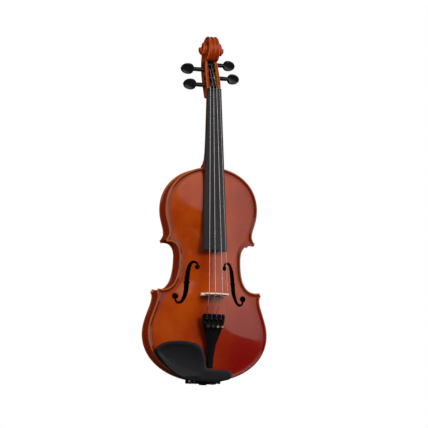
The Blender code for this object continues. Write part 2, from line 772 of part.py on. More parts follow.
PEGBOX = np.array([  # front v and h, back v and h, half width
    (487.5, -3.0, 476.5, -24.5, 12.0),
    (500.0, -7.0, 495.0, -33.5, 12.2),
    (515.0, -13.6, 512.5, -42.5, 11.9),
    (530.0, -20.2, 529.5, -49.6, 11.0),
    (541.0, -25.0, 544.0, -53.4, 9.8),
    (546.0, -27.5, 560.5, SCROLL_H - SCROLL_R0 + 0.9, 8.4),
])
CAVITY = [  # share along the pegbox, depth as a share of the pegbox's, half width
    (0.07, 0.36, 7.4), (0.14, 0.62, 7.6), (0.3, 0.70, 7.7),
    (0.55, 0.70, 7.2), (0.76, 0.62, 6.2), (0.86, 0.45, 5.6),
]


def box_ring(front, back_point, half, back_share):
    """Four-cornered section between two (v, h) points, its back a share of the front's width."""
    low = half * back_share
    return [
        world(-half, *front), world(half, *front), world(low, *back_point), world(-low, *back_point)
    ]


def pegbox():
    rings = [box_ring(row[:2], row[2:4], row[4], 0.94) for row in PEGBOX]
    return loft("pegbox", rings, MAPLE, smooth=False)


def pegbox_cavity():
    rings = []
    for along, depth, half in CAVITY:
        k = along * (len(PEGBOX) - 1)
        i = min(int(k), len(PEGBOX) - 2)
        row = PEGBOX[i] * (1 - (k - i)) + PEGBOX[i + 1] * (k - i)
        front, rear = row[:2], row[2:4]
        over = front + (front - rear) * 0.25  # clear of the open front
        rings.append(box_ring(over, front + (rear - front) * depth, half, 0.92))
    return loft("pegbox_cavity", rings, smooth=False)


# ---------------------------------------------------------------- scroll
def scroll_radius(angle):
    return SCROLL_R0 + (SCROLL_R1 - SCROLL_R0) * angle / (2 * math.pi * SCROLL_TURNS)


def scroll_half(angle):
    """Half width of the volute: constant for a quarter turn, then widening to the eye."""
    start = 0.5 * math.pi
    share = max(0.0, (angle - start) / (2 * math.pi * SCROLL_TURNS - start))
    return 7.8 + 13.2 * share**1.05


def scroll():
    """The volute: from the side a spiral, each inner turn standing further out."""
    turn = 20  # steps in a turn
    last = int(turn * SCROLL_TURNS)
    angles = [2 * math.pi * k / turn for k in range(last + 1)]
    bm = bmesh.new()

    def vertex(angle, radius, x):
        v = SCROLL_V + radius * math.sin(angle)
        return bm.verts.new(world(x, v, SCROLL_H - radius * math.cos(angle)))

    walls = []
    for sign in (1, -1):
        rim = [vertex(a, scroll_radius(a), sign * scroll_half(a)) for a in angles]
        foot = {}
        for k in range(turn, last + 1):  # foot of each wall, on the face of the turn outside it
            outside = sign * scroll_half(angles[k - turn])
            foot[k] = vertex(angles[k], scroll_radius(angles[k]), outside)
        for k in range(last - turn):
            bm.faces.new((rim[k], rim[k + 1], foot[k + 1 + turn], foot[k + turn]))
        for k in range(turn, last):
            bm.faces.new((foot[k], foot[k + 1], rim[k + 1], rim[k]))
        centre = vertex(0, 0.0, sign * scroll_half(angles[last]))
        for k in range(last - turn, last):
            bm.faces.new((rim[k], rim[k + 1], centre))
        bm.faces.new((rim[last - turn], centre, rim[last], foot[last]))
        walls.append((rim, foot))

    (rim, foot), (twin_rim, twin_foot) = walls
    for k in range(turn):
        bm.faces.new((rim[k], rim[k + 1], twin_rim[k + 1], twin_rim[k]))
    # the step between the start of the spiral and its second turn
    step = (rim[0], foot[turn], rim[turn], twin_rim[turn], twin_foot[turn], twin_rim[0])
    bm.faces.new(step)
    bmesh.ops.triangulate(bm, faces=[f for f in bm.faces if len(f.verts) > 4])
    return from_bmesh("scroll", bm, MAPLE)


def neck():
    """Shaft, pegbox and scroll in one, hollowed, bored for the pegs and seated for the nut."""
    body = neck_shaft()
    join(body, pegbox(), "MANIFOLD")
    join(body, scroll(), "MANIFOLD")
    cut(body, pegbox_cavity(), "MANIFOLD")
    for name, (v, h, _, _) in PEGS.items():
        bore = turned(f"peg_bore_{name}", rod(4.1, 26, -26), world(0, v, h), (1, 0, 0), steps=14)
        cut(body, bore, "MANIFOLD")
    seat = box("nut_seat", (-20, 20), (NUT_V - GAP, NUT_V + NUT_LENGTH + GAP), (-5.6, 8))
    cut(body, seat, "MANIFOLD")


# ---------------------------------------------------------------- fingerboard and nut
def fingerboard():
    """Cambered on top, hollowed below where it runs free over the body."""
    rings = []
    n = 7
    for v in (BOARD_END_V, 262, 308, 346, 352, 418, NUT_V - GAP):
        half = board_half(v)
        low = board_edge(v) - BOARD_EDGE_THICK
        hollow = low + (3.4 if v < 350 else 0.0)
        across = [half * (1 - 2 * k / n) for k in range(n + 1)]
        under = [
            (-half, low), (-half + 3.0, low), (-half * 0.45, hollow),
            (half * 0.45, hollow), (half - 3.0, low), (half, low),
        ]
        rings.append([world(x, v, board_top(x, v)) for x in across]
                     + [world(x, v, h) for x, h in under])
    loft("fingerboard", rings, EBONY)


def nut():
    half, low, n = BOARD_HALF_NUT - 0.1, -5.3, 6
    across = [half * (1 - 2 * k / n) for k in range(n + 1)]
    rings = []
    for v, lift in ((NUT_V, 0.9), (NUT_V + 2.6, 0.8), (NUT_V + NUT_LENGTH, 0.2)):
        upper = [world(x, v, board_top(x, NUT_V) + lift) for x in across]
        rings.append(upper + [world(-half, v, low), world(half, v, low)])
    loft("nut", rings, EBONY)


# ---------------------------------------------------------------- pegs
PEG_HEAD = (0.0108, 0.0036, 0.0086)  # half sizes of the flattened head, metres


def peg(name, v, h, side, reach):
    """Turned shank and collar with an oval head; the collar moves out with the head."""
    out = reach - 33.0
    profile = [
        (0, 26.0 + out), (3.0, 26.0 + out), (3.3, 21.0 + out), (4.9, 19.0 + out),
        (5.2, 17.5 + out), (3.9, 16.1 + out),
        (3.7, 12.5), (3.1, -12.9), (2.6, -13.6), (0, -13.6),
    ]
    shank = meshed(turned(f"peg_{name}", profile, world(0, v, h), (side, 0, 0), EBONY))
    bpy.ops.mesh.primitive_uv_sphere_add(segments=12, ring_count=8, radius=1.0)
    head = bpy.context.active_object
    head.name = f"peg_head_{name}"
    head.data.transform(Matrix.Diagonal((*PEG_HEAD, 1.0)))
    head.location = world(side * reach, v, h)
    join(shank, head)


# ---------------------------------------------------------------- bridge
# Outlines in x and h about the bridge's own middle
BRIDGE_ARCH = [(-7.2, 17.4), (-3.4, 20.2), (3.4, 20.2), (7.2, 17.4)]  # between the feet
BRIDGE_FLANK = [  # treble side, from above the foot to the crown
    (16.2, 18.6), (15.2, 21.4), (17.2, 23.4), (21.6, 24.4), (21.2, 27.6), (18.6, 29.2),
    (19.6, 33.6),
]
BRIDGE_CROWN = [
    (20.4, 37.9), (16.4, 40.9), (11.5, 44.2), (5.9, 46.4), (-0.4, 47.6), (-6.7, 46.9),
    (-11.8, 45.7), (-16.1, 43.9), (-20.4, 40.9),
]
BRIDGE_HEART = [
    (0.0, 28.2), (1.8, 31.2), (3.6, 34.0), (3.2, 36.6), (1.4, 37.2), (0.0, 35.8),
    (-1.4, 37.2), (-3.2, 36.6), (-3.6, 34.0), (-1.8, 31.2),
]
FOOT_IN, FOOT_OUT = 9.0, 20.8  # ends of a bridge foot


def bridge_side(sign):
    """Foot on the arch of the top, then the flank."""
    heel, toe = (arch_over(sign * x + BRIDGE_X, BRIDGE_V) + 0.35 for x in (FOOT_IN, FOOT_OUT))
    side = [(FOOT_IN, heel), (FOOT_OUT, toe), (FOOT_OUT + 0.2, toe + 1.6)] + BRIDGE_FLANK
    return [(sign * x, h) for x, h in side]


def bridge():
    outline = BRIDGE_ARCH + bridge_side(1) + BRIDGE_CROWN + bridge_side(-1)[::-1]
    side_holes = [oval(x, 27.6, 3.0, 4.4, 12) for x in (10.6, -10.6)]
    origin = world(BRIDGE_X, BRIDGE_V, 0)
    outlines = [outline, BRIDGE_HEART] + side_holes
    flat("bridge", outlines, origin, ACROSS, BRIDGE_THICK, PALE_MAPLE)


# ---------------------------------------------------------------- tailpiece, strings and tuners
TAIL_STATIONS = (  # (share of the length from the narrow end, half width)
    (0.0, 5.6), (0.14, 5.6), (0.30, 6.6), (0.42, 7.6),
    (0.56, 11.0), (0.72, 15.6), (0.88, 19.2), (1.0, 19.6),
)
TAIL_THICK = 4.4
TUNER_V = 91.0  # screws of the fine tuners
TUNER_PIVOT_V = 103.0
TUNER_PIVOT_DROP = 7.5  # pivot below the tailpiece's upper surface


def tail_surface(v):
    """Height of the tailpiece's upper middle line."""
    share = (v - TAIL_END_V) / (TAIL_TOP_V - TAIL_END_V)
    return TAIL_END_H + (TAIL_TOP_H - TAIL_END_H) * share


def tailpiece():
    """Tailpiece, more strongly crowned towards its narrow end."""
    rings = []
    for share, half in TAIL_STATIONS:
        v = TAIL_END_V + (TAIL_TOP_V - TAIL_END_V) * share
        h = tail_surface(v)
        crown = 1.0 + 2.6 * max(0.0, 1 - share * 1.6)
        angles = [math.pi * k / 6 for k in range(7)]
        ring = [world(half * math.cos(a), v, h - crown + crown * math.sin(a)) for a in angles]
        low, low_half = h - TAIL_THICK, half - 0.6
        rings.append(ring + [world(-low_half, v, low), world(low_half, v, low)])
    return loft("tailpiece", rings, FITTING)


def string(name, nut_x, bridge_x, bridge_h, tail_x, radius):
    """String from just short of its peg, over nut and bridge, to the tailpiece."""
    peg_v, peg_h = PEGS[name][:2]
    nut_h = board_top(nut_x, NUT_V) + 0.9 + radius + GAP
    tail_v = TAIL_TOP_V - 5.0
    path = [
        (nut_x * 0.62, peg_v - 1.0, peg_h + 3.7 + radius + GAP),
        (nut_x, NUT_V + NUT_LENGTH + 0.5, nut_h - 0.3),
        (nut_x, NUT_V, nut_h),
        (bridge_x, BRIDGE_V, bridge_h + radius + GAP),
        (tail_x, TAIL_TOP_V + 0.5, TAIL_TOP_H + radius + GAP + 0.6),
        (tail_x, tail_v, tail_surface(tail_v) + radius + 0.9),
    ]
    tube(f"string_{name}", path, radius, STEEL)


def fine_tuner(name, x, tail):
    """Lever, screw and knob, with their slot and hole in the tailpiece."""
    surface = tail_surface(TUNER_V)
    pivot_h = tail_surface(TUNER_PIVOT_V) - TUNER_PIVOT_DROP
    cut(tail, box(f"slot_{name}", (x - 1.9, x + 1.9), (96.5, 108.0), (20, 40)))
    hole_at = world(x, TUNER_V, surface)
    cut(tail, turned(f"screw_hole_{name}", rod(1.6, 20, -20), hole_at, ALONG_H))

    # (v, h) from the pivot: prong up through the slot, arm running down the body below the screw
    arm_end = TUNER_V - 2.4 - TUNER_PIVOT_V
    lever = [
        (1.4, 9.6), (2.4, 8.8), (1.7, 2.0), (2.2, -1.6), (0, -2.6),
        (arm_end, -2.4), (arm_end, -1.0), (-2.0, -0.2), (-0.6, 2.0), (-0.4, 9.6),
    ]
    outline = [(TUNER_PIVOT_V + dv, pivot_h + dh) for dv, dh in lever]
    side_piece(f"tuner_lever_{name}", outline, x, 2.8, CHROME)

    foot = world(x, TUNER_V, 0)
    screw_top, tip = surface + 8.6, pivot_h - 0.45
    screw = [(0, screw_top), (1.15, screw_top), (1.15, tip + 0.5), (0.6, tip), (0, tip)]
    turned(f"tuner_screw_{name}", screw, foot, ALONG_H, BRASS, steps=10)
    knob_low = screw_top + GAP
    knob = [(0, 4.6), (2.4, 4.6), (3.2, 4.0), (3.3, 0.8), (2.6, 0), (0, 0)]
    knob = [(r, knob_low + z) for r, z in knob]
    turned(f"tuner_knob_{name}", knob, foot, ALONG_H, FITTING, steps=14)


def tailgut():
    """Loop from the tailpiece's narrow end, over the saddle and round the end button."""
    ring_v, ring_radius, open_angle = BUTTON_FACE_V + 4.95, 6.1, 1.25
    run = [
        (3.4, TAIL_END_V - 0.8, TAIL_END_H - 2.6), (3.6, 6.4, 9.5), (3.7, 3.3, 9.5),
        (4.6, ring_v, 5.6), (5.9, ring_v, -9.0),
    ]
    ring = [
        (ring_radius * math.sin(a), ring_v, BUTTON_H + ring_radius * math.cos(a))
        for a in np.linspace(open_angle, 2 * math.pi - open_angle, 9)
    ]
    tube("tailgut", run + ring + [(-x, v, h) for x, v, h in run[::-1]], 0.9, GUT)


# ---------------------------------------------------------------- chin rest and its clamp
CHIN_OUTLINE = [  # (x, v), from the bass side over the upper edge and back along the lower edge
    (-94.3, 50.5), (-84.5, 59.5), (-71.5, 64.3), (-56.7, 66.2), (-41.9, 66.1), (-30.3, 64.2),
    (-21.9, 61.4), (-15.1, 56.2), (-10.7, 47.7), (-8.2, 38.3), (-7.4, 29.0), (-6.0, 22.0),
    (10.8, 21.6), (27.5, 21.6), (35.0, 20.9), (37.8, 14.9), (37.8, 10.2), (33.8, 6.1),
    (23.1, 4.1), (11.5, 2.0), (-15.0, 1.5), (-39.0, 2.7), (-54.8, 8.1), (-71.6, 20.0),
    (-83.5, 32.1), (-91.5, 41.5),
]
CHIN_LOW, CHIN_HIGH = 15.5, 24.0
CHIN_FEET = {"bass": (-37.0, -27.0), "treble": (24.0, 34.0)}  # x spans
FOOT_V = (8.6, 16.0)
FOOT_LOW, CORK_LOW = 7.6, 4.9

CLAMP_V = -0.6  # barrels stand just outside the plates
CLAMP_X, CLAMP_HALF = -1.5, 19.5  # middle of the clamp, barrels either side of it
CLAMP_XS = (CLAMP_X - CLAMP_HALF, CLAMP_X + CLAMP_HALF)
BAR_HALF, BAR_THICK, STRAP_HALF = 1.5, 1.6, 3
CLAMP_POST_RADIUS = 1.1
BARREL = [  # wall section: (radius, h)
    (1.4, -5.5), (2.0, -5.5), (2.4, -6.1), (2.4, -24.9), (2.0, -25.5), (1.4, -25.5),
]


def chin_rest():
    """The rest with relief over the tailgut, its two feet and their cork pads."""
    rest = meshed(plan_piece("chin_rest", CHIN_OUTLINE[::-1], (CHIN_LOW, CHIN_HIGH), FITTING))
    cut(rest, box("gut_relief", (-8.0, 7.9), (-2.2, 26.3), (10, 20.4)))
    for k, (side, x_span) in enumerate(CHIN_FEET.items()):
        join(rest, box(f"chin_foot_{k}", x_span, FOOT_V, (FOOT_LOW, CHIN_LOW + 2)))
        box(f"cork_pad_{side}", x_span, FOOT_V, (CORK_LOW, FOOT_LOW - GAP), CORK)


def clamp_frame(name, prefix, high, strap_end_v, post_span):
    """A cross bar outside the body, with a strap over it and a post into the barrel each side."""
    h_span = (high - BAR_THICK, high)
    bar_v = (CLAMP_V - BAR_HALF, CLAMP_V + BAR_HALF)
    bar = box(name, (CLAMP_XS[0] - STRAP_HALF, CLAMP_XS[1] + STRAP_HALF), bar_v, h_span, CHROME)
    for k, x in enumerate(CLAMP_XS):
        x_span = (x - STRAP_HALF, x + STRAP_HALF)
        join(bar, box(f"{prefix}strap_{k}", x_span, (bar_v[0], strap_end_v), h_span))
        post = rod(CLAMP_POST_RADIUS, *post_span)
        join(bar, turned(f"{prefix}post_{k}", post, world(x, CLAMP_V, 0), ALONG_H, steps=10))


def chin_rest_clamp():
    bracket_h = CHIN_LOW - GAP
    clamp_frame("chin_rest_bracket", "", bracket_h, 15.0, (bracket_h - 0.5, -10.5))
    clamp_frame("clamp_foot", "foot_", -36.3, 12.5, (-20.5, -37.0))
    for side, x in zip(("bass", "treble"), CLAMP_XS):
        origin = world(x, CLAMP_V, 0)
        spun(f"clamp_barrel_{side}", BARREL, origin, ALONG_H, CHROME, steps=16, closed=True)


# ---------------------------------------------------------------- assembly
top()
back()
bore = end_button()
ribs(bore)
linings()
corner_blocks()
end_block(bore)
neck_block()
bass_bar()
sound_post()
saddle()
neck()
fingerboard()
nut()
for peg_name, placing in PEGS.items():
    peg(peg_name, *placing)
bridge()
tail_body = tailpiece()
for string_name, course in STRINGS.items():
    string(string_name, *course)
    fine_tuner(string_name, course[3], tail_body)
tailgut()
chin_rest()
chin_rest_clamp()
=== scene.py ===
"""A violin's looks: fine meshes, procedural materials, floor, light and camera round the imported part.

Shapes are given in plan millimetres: x across (plus is the treble side), y up the length,
z out of the top. place() turns them into world metres: the violin stands along +Z with its
top facing -Y, its treble side at +X and the lower end of its body just above the floor.
"""

import math
from collections import namedtuple

import bmesh
import bpy
import numpy as np
from mathutils import Matrix, Vector


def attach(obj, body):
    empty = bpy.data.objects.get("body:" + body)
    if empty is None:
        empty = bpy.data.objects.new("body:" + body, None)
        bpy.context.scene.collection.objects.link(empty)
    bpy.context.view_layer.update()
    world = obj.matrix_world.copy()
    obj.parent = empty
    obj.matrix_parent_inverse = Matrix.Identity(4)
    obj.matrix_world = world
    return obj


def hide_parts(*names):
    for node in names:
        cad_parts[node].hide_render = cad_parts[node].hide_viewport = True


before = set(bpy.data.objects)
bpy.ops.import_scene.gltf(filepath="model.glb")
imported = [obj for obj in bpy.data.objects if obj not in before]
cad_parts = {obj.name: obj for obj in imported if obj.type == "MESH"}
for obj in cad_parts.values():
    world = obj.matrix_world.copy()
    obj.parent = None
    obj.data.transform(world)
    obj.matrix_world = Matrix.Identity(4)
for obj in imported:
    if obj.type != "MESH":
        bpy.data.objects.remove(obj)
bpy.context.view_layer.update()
PI = math.pi
FLOOR_Y = -4.5  # plan y at world Z = 0
MID_Z = -15.5  # plan z at world Y = 0, half-way through the ribs


def place(x, y, z):
    """Plan millimetres to world metres."""
    return (x / 1000.0, -(z - MID_Z) / 1000.0, (y - FLOOR_Y) / 1000.0)


def places(x, y, z):
    """The same for arrays, one row for each point."""
    return np.stack(np.broadcast_arrays(*place(x, y, z)), -1)


def plan(point):
    """World metres back to plan millimetres."""
    x, y, z = point
    return x * 1000, z * 1000 + FLOOR_Y, -y * 1000 + MID_Z


def section(points, y):
    """A cross-section of (x, z) points at one place up the length."""
    return [place(x, y, z) for x, z in points]


def mirrored(points):
    """(x, z) points on the other side of the middle, in reverse order."""
    return [(-x, z) for x, z in points[::-1]]


# ---------------------------------------------------------------- curves
def ease(x, start, end):
    """0 at start, 1 at end, smooth between."""
    t = np.clip((np.asarray(x, float) - start) / (end - start), 0, 1)
    return t * t * (3 - 2 * t)


def bulge(value, power):
    """A power of the value that keeps its sign, for superellipses."""
    return math.copysign(abs(value) ** power, value)


def monotone(xs, ys):
    """A smooth curve through the points that never overshoots them."""
    xs, ys = np.array(xs, float), np.array(ys, float)
    gaps = np.diff(xs)
    rises = np.diff(ys) / gaps
    before, after = rises[:-1], rises[1:]
    total = before + after
    slopes = np.zeros(len(xs))
    mean = 2 * before * after / np.where(total == 0, 1, total)
    slopes[1:-1] = np.where(before * after > 0, mean, 0)
    slopes[0], slopes[-1] = rises[0], rises[-1]

    def curve(x):
        x = np.clip(np.asarray(x, float), xs[0], xs[-1])
        i = np.clip(np.searchsorted(xs, x) - 1, 0, len(gaps) - 1)
        t = (x - xs[i]) / gaps[i]
        low = (2 * t**3 - 3 * t**2 + 1) * ys[i] + (t**3 - 2 * t**2 + t) * gaps[i] * slopes[i]
        high = (-2 * t**3 + 3 * t**2) * ys[i + 1] + (t**3 - t**2) * gaps[i] * slopes[i + 1]
        return low + high

    return curve


def catmull(points, steps, closed=False):
    """Points along a smooth curve, with this many steps between given points."""
    points = np.array(points, float)
    count = len(points)
    out = []
    for i in range(count if closed else count - 1):
        near = range(i - 1, i + 3)
        picks = [k % count if closed else min(max(k, 0), count - 1) for k in near]
        a, b, c, d = points[picks]
        for t in np.arange(steps) / steps:
            bend = (2 * a - 5 * b + 4 * c - d) * t * t + (3 * b - a - 3 * c + d) * t**3
            out.append(0.5 * (2 * b + (c - a) * t + bend))
    if not closed:
        out.append(points[-1])
    return np.array(out)


def bezier(start, pull_a, pull_b, end, steps):
    a, b, c, d = (np.array(p, float) for p in (start, pull_a, pull_b, end))
    t = np.linspace(0, 1, steps + 1)[:, None]
    return (1 - t) ** 3 * a + 3 * (1 - t) ** 2 * t * b + 3 * (1 - t) * t * t * c + t**3 * d


def normals(curve):
    """Unit normals to the left of an open curve."""
    tangents = np.gradient(curve, axis=0)
    tangents /= np.linalg.norm(tangents, axis=1)[:, None]
    return np.stack([-tangents[:, 1], tangents[:, 0]], 1)


def circle(x, y, radius, count):
    angles = np.linspace(0, 2 * PI, count + 1)[:-1]
    return [(x + radius * math.cos(a), y + radius * math.sin(a)) for a in angles]


# ---------------------------------------------------------------- mesh helpers
WORN_LIT = 2  # the neck's material slot for worn edges that also carry a painted highlight


def new_object(name, data):
    obj = bpy.data.objects.new(name, data)
    bpy.context.scene.collection.objects.link(obj)
    return obj


def shade(obj, sharp):
    """Smooth shading, with edges over this many degrees left sharp."""
    obj.data.shade_smooth()
    obj.data.set_sharp_from_angle(angle=math.radians(sharp))


def clean(mesh, merge, dissolve=True):
    bm = bmesh.new()
    bm.from_mesh(mesh)
    bmesh.ops.remove_doubles(bm, verts=bm.verts, dist=merge)
    if dissolve:
        bmesh.ops.dissolve_degenerate(bm, edges=bm.edges, dist=1e-8)
    bmesh.ops.recalc_face_normals(bm, faces=bm.faces)
    bm.to_mesh(mesh)
    bm.free()
    mesh.update()


def coordinates(mesh):
    flat = np.zeros(len(mesh.vertices) * 3)
    mesh.vertices.foreach_get("co", flat)
    return flat.reshape(-1, 3)


class Build:
    """Collects world points and faces, each face with a material slot, into one mesh."""

    def __init__(self):
        self.verts, self.faces, self.slots = [], [], []

    def add(self, verts, faces, slots=None):
        start = len(self.verts)
        self.verts += [tuple(p) for p in verts]
        self.faces += [tuple(i + start for i in f) for f in faces]
        self.slots += slots or [0] * len(faces)
        return self

    def grid(self, rows, slot=0, wrap=True, caps=(True, True), worn_lit=()):
        """Rings, or open rows, of equal count joined in order; the last argument lists strips that are
        worn and carry a painted highlight.
        """
        rows = [np.asarray(row, float) for row in rows]
        count = len(rows[0])
        faces, slots = [], []
        for a in range(len(rows) - 1):
            for i in range(count if wrap else count - 1):
                j = (i + 1) % count
                here, above = a * count, (a + 1) * count
                faces.append((here + i, here + j, above + j, above + i))
                slots.append(WORN_LIT if i in worn_lit else slot)
        if caps[0]:
            faces.append(tuple(range(count))[::-1])
        if caps[1]:
            faces.append(tuple((len(rows) - 1) * count + i for i in range(count)))
        slots += [slot] * sum(caps)
        return self.add(np.vstack(rows), faces, slots)

    def lathe(self, profile, origin, axis, steps=32, slot=0, wobble=None):
        """A turned solid from (radius, distance along the axis) in mm."""
        turn = Vector((0, 0, 1)).rotation_difference(Vector(axis)).to_matrix()
        rows = []
        for k, (radius, z) in enumerate(profile):
            row = []
            for i in range(steps):
                angle = 2 * PI * i / steps
                r = radius * (1 + (wobble(angle, k) if wobble else 0))
                spoke = Vector((r * math.cos(angle), r * math.sin(angle), z))
                row.append(Vector(origin) + turn @ spoke / 1000.0)
            rows.append(row)
        caps = (profile[0][0] > 1e-6, profile[-1][0] > 1e-6)
        return self.grid(rows, slot, caps=caps)

    def tube(self, points, radius, sides=12, slot=0):
        """A round tube through world points; radius in mm."""
        points = [Vector(p) for p in points]
        last = len(points) - 1
        tangents = [
            (points[min(i + 1, last)] - points[max(i - 1, 0)]).normalized()
            for i in range(len(points))
        ]
        side = tangents[0].orthogonal().normalized()
        angles = [2 * PI * k / sides for k in range(sides)]
        rows = []
        for p, tangent in zip(points, tangents):
            side = (side - tangent * side.dot(tangent)).normalized()
            up = tangent.cross(side)
            rows.append([
                p + (side * math.cos(a) + up * math.sin(a)) * radius / 1000.0 for a in angles
            ])
        return self.grid(rows, slot)

    def block(self, xs, ys, zs, rounding, slot=0):
        """A block between three pairs of limits, its edges rounded over."""
        low, high = Vector(place(xs[0], ys[0], zs[1])), Vector(place(xs[1], ys[1], zs[0]))
        bm = bmesh.new()
        bmesh.ops.create_cube(bm, size=1.0)
        for vert in bm.verts:
            vert.co = (low + high) / 2 + vert.co * (high - low)
        bmesh.ops.bevel(
            bm, geom=list(bm.edges), offset=rounding / 1000.0, segments=3,
            profile=0.5, affect="EDGES", clamp_overlap=True,
        )
        bm.verts.index_update()
        faces = [[vert.index for vert in face.verts] for face in bm.faces]
        self.add([vert.co for vert in bm.verts], faces, [slot] * len(faces))
        bm.free()
        return self

    def piece(self, name, materials, sharp=38, merge=1e-7):
        mesh = bpy.data.meshes.new(name)
        mesh.from_pydata(self.verts, [], self.faces)
        for material in materials:
            mesh.materials.append(material)
        mesh.polygons.foreach_set("material_index", self.slots)
        clean(mesh, merge)
        obj = new_object(name, mesh)
        shade(obj, sharp)
        return obj


def prism(outline, low, high):
    """An upright cutter over a plan outline, between two heights."""
    rows = [[place(x, y, z) for x, y in outline] for z in (low, high)]
    return Build().grid(rows).piece("cutter", [])


def bore(radius, start, end, origin, axis, steps):
    """A round cutter along an axis."""
    profile = [(0, start), (radius, start), (radius, end), (0, end)]
    return Build().lathe(profile, origin, axis, steps).piece("cutter", [])


def carve(obj, cutters, operation="DIFFERENCE", sharp=38):
    """Combines the piece with each solid and keeps the result as plain mesh."""
    for cutter in cutters:
        modifier = obj.modifiers.new("cut", "BOOLEAN")
        modifier.operation = operation
        modifier.solver = "MANIFOLD"
        modifier.object = cutter
    bpy.context.view_layer.update()
    graph = bpy.context.evaluated_depsgraph_get()
    mesh = bpy.data.meshes.new_from_object(obj.evaluated_get(graph))
    obj.modifiers.clear()
    old = obj.data
    obj.data = mesh
    bpy.data.meshes.remove(old)
    for cutter in cutters:
        bpy.data.objects.remove(cutter)
    shade(obj, sharp)


def absorb(target, others):
    """Joins other pieces into one object."""
    bpy.ops.object.select_all(action="DESELECT")
    for obj in others + [target]:
        obj.select_set(True)
    bpy.context.view_layer.objects.active = target
    bpy.ops.object.join()


def finish(obj, moves=False, replaced=None):
    """Hands a piece over; by default it replaces the node it is named after.

    A moving piece rides on that node's own body, the rest on the root.
    """
    node = obj.name.removesuffix("_fine")
    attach(obj, node if moves else "root")
    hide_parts(*(replaced or [node]))


# ---------------------------------------------------------------- material helpers
class Nodes:
    """Adds nodes to a shader tree and links them."""

    def __init__(self, tree):
        self.tree = tree

    def feed(self, socket, value):
        if isinstance(value, bpy.types.NodeSocket):
            self.tree.links.new(value, socket)
        else:
            socket.default_value = (*value, 1.0) if socket.type == "RGBA" else value

    def node(self, kind, inputs=None, **settings):
        node = self.tree.nodes.new("ShaderNode" + kind)
        for key, value in settings.items():
            setattr(node, key, value)
        for key, value in (inputs or {}).items():
            self.feed(node.inputs[key], value)
        return node

    def math(self, operation, *values):
        return self.node("Math", dict(enumerate(values)), operation=operation).outputs[0]

    def times(self, a, b):
        return self.math("MULTIPLY", a, b)

    def plus(self, a, b):
        return self.math("ADD", a, b)

    def minus(self, a, b):
        return self.math("SUBTRACT", a, b)

    def ramp(self, value, span, to=(0.0, 1.0)):
        """Carries the span of a value smoothly onto another range."""
        inputs = {
            "Value": value, "From Min": span[0], "From Max": span[1],
            "To Min": to[0], "To Max": to[1],
        }
        return self.node("MapRange", inputs, interpolation_type="SMOOTHSTEP").outputs["Result"]


class Material(Nodes):
    """A material on the Principled shader, in object coordinates (world axes, metres)."""

    def __init__(self, name):
        self.material = bpy.data.materials.new(name)
        self.material.use_nodes = True
        super().__init__(self.material.node_tree)
        self.shader = self.tree.nodes["Principled BSDF"]
        self.coords = self.node("TexCoord").outputs["Object"]
        self.normal = None

    def put(self, socket, value):
        self.feed(self.shader.inputs[socket], value)

    def vary(self, socket, pattern, low, high):
        """Lets a noise pattern move a shader input between two values."""
        self.put(socket, self.ramp(pattern, (0.3, 0.7), to=(low, high)))

    def mapped(self, stretch, rotation=(0, 0, 0)):
        inputs = {"Vector": self.coords, "Scale": stretch, "Rotation": rotation}
        return self.node("Mapping", inputs).outputs["Vector"]

    def noise(self, scale, stretch=(1, 1, 1), detail=4.0, rough=0.55):
        inputs = {
            "Vector": self.mapped(stretch), "Scale": scale, "Detail": detail,
            "Roughness": rough,
        }
        return self.node("TexNoise", inputs).outputs["Fac"]

    def wave(self, scale, direction, distortion, detail, detail_scale,
             stretch=(1, 1, 1), rotation=(0, 0, 0)):
        inputs = {
            "Vector": self.mapped(stretch, rotation), "Scale": scale,
            "Distortion": distortion, "Detail": detail, "Detail Scale": detail_scale,
        }
        return self.node("TexWave", inputs, bands_direction=direction).outputs["Fac"]

    def mix(self, factor, colour, other):
        inputs = {"Factor": factor, 6: colour, 7: other}
        return self.node("Mix", inputs, data_type="RGBA").outputs[2]

    def tint(self, colour, other, pattern, share):
        """Mixes in another colour by a share of the pattern."""
        return self.mix(self.times(pattern, share), colour, other)

    def axis(self, name):
        return self.node("SeparateXYZ", {"Vector": self.coords}).outputs[name]

    def bump(self, height, strength, distance):
        """Adds a bump (distance in metres) on top of those already there."""
        inputs = {"Height": height, "Strength": strength, "Distance": distance}
        if self.normal is not None:
            inputs["Normal"] = self.normal
        self.normal = self.node("Bump", inputs).outputs["Normal"]
        self.put("Normal", self.normal)


# ---------------------------------------------------------------- materials
def flamed(mat, colour, direction):
    """Dark flame stripes across maple."""
    wide = mat.wave(scale=32.0, direction=direction, distortion=5.5, detail=3.0,
                    detail_scale=1.1, rotation=(0, 0.16, 0))
    narrow = mat.wave(scale=57.0, direction=direction, distortion=7.0, detail=3.0,
                      detail_scale=1.6, rotation=(0, 0.10, 0))
    stripes = mat.times(mat.plus(wide, mat.times(narrow, 0.5)), 0.66)
    gaps = mat.noise(scale=30.0, stretch=(1, 1, 0.4), detail=3.0)
    stripes = mat.times(stripes, mat.ramp(gaps, (0.3, 0.62), to=(0.35, 1.0)))
    fibre = mat.noise(scale=900.0, stretch=(1, 1, 0.05), detail=2.0)
    mat.bump(fibre, strength=0.08, distance=0.00012)
    return mat.tint(colour, (0.085, 0.008, 0.002), stripes, share=0.6)


def ringed(mat, colour):
    """Fine growth lines up the length of spruce."""
    rings = mat.wave(scale=230.0, direction="X", distortion=1.3, detail=2.0,
                     detail_scale=0.5, stretch=(1, 1, 0.04))
    fine = mat.wave(scale=610.0, direction="X", distortion=1.8, detail=2.0,
                    detail_scale=0.8, stretch=(1, 1, 0.05))
    lines = mat.plus(mat.times(mat.math("POWER", rings, 3.0), 0.75), mat.times(fine, 0.25))
    mat.bump(lines, strength=0.10, distance=0.00010)
    return mat.tint(colour, (0.12, 0.012, 0.002), lines, share=0.36)


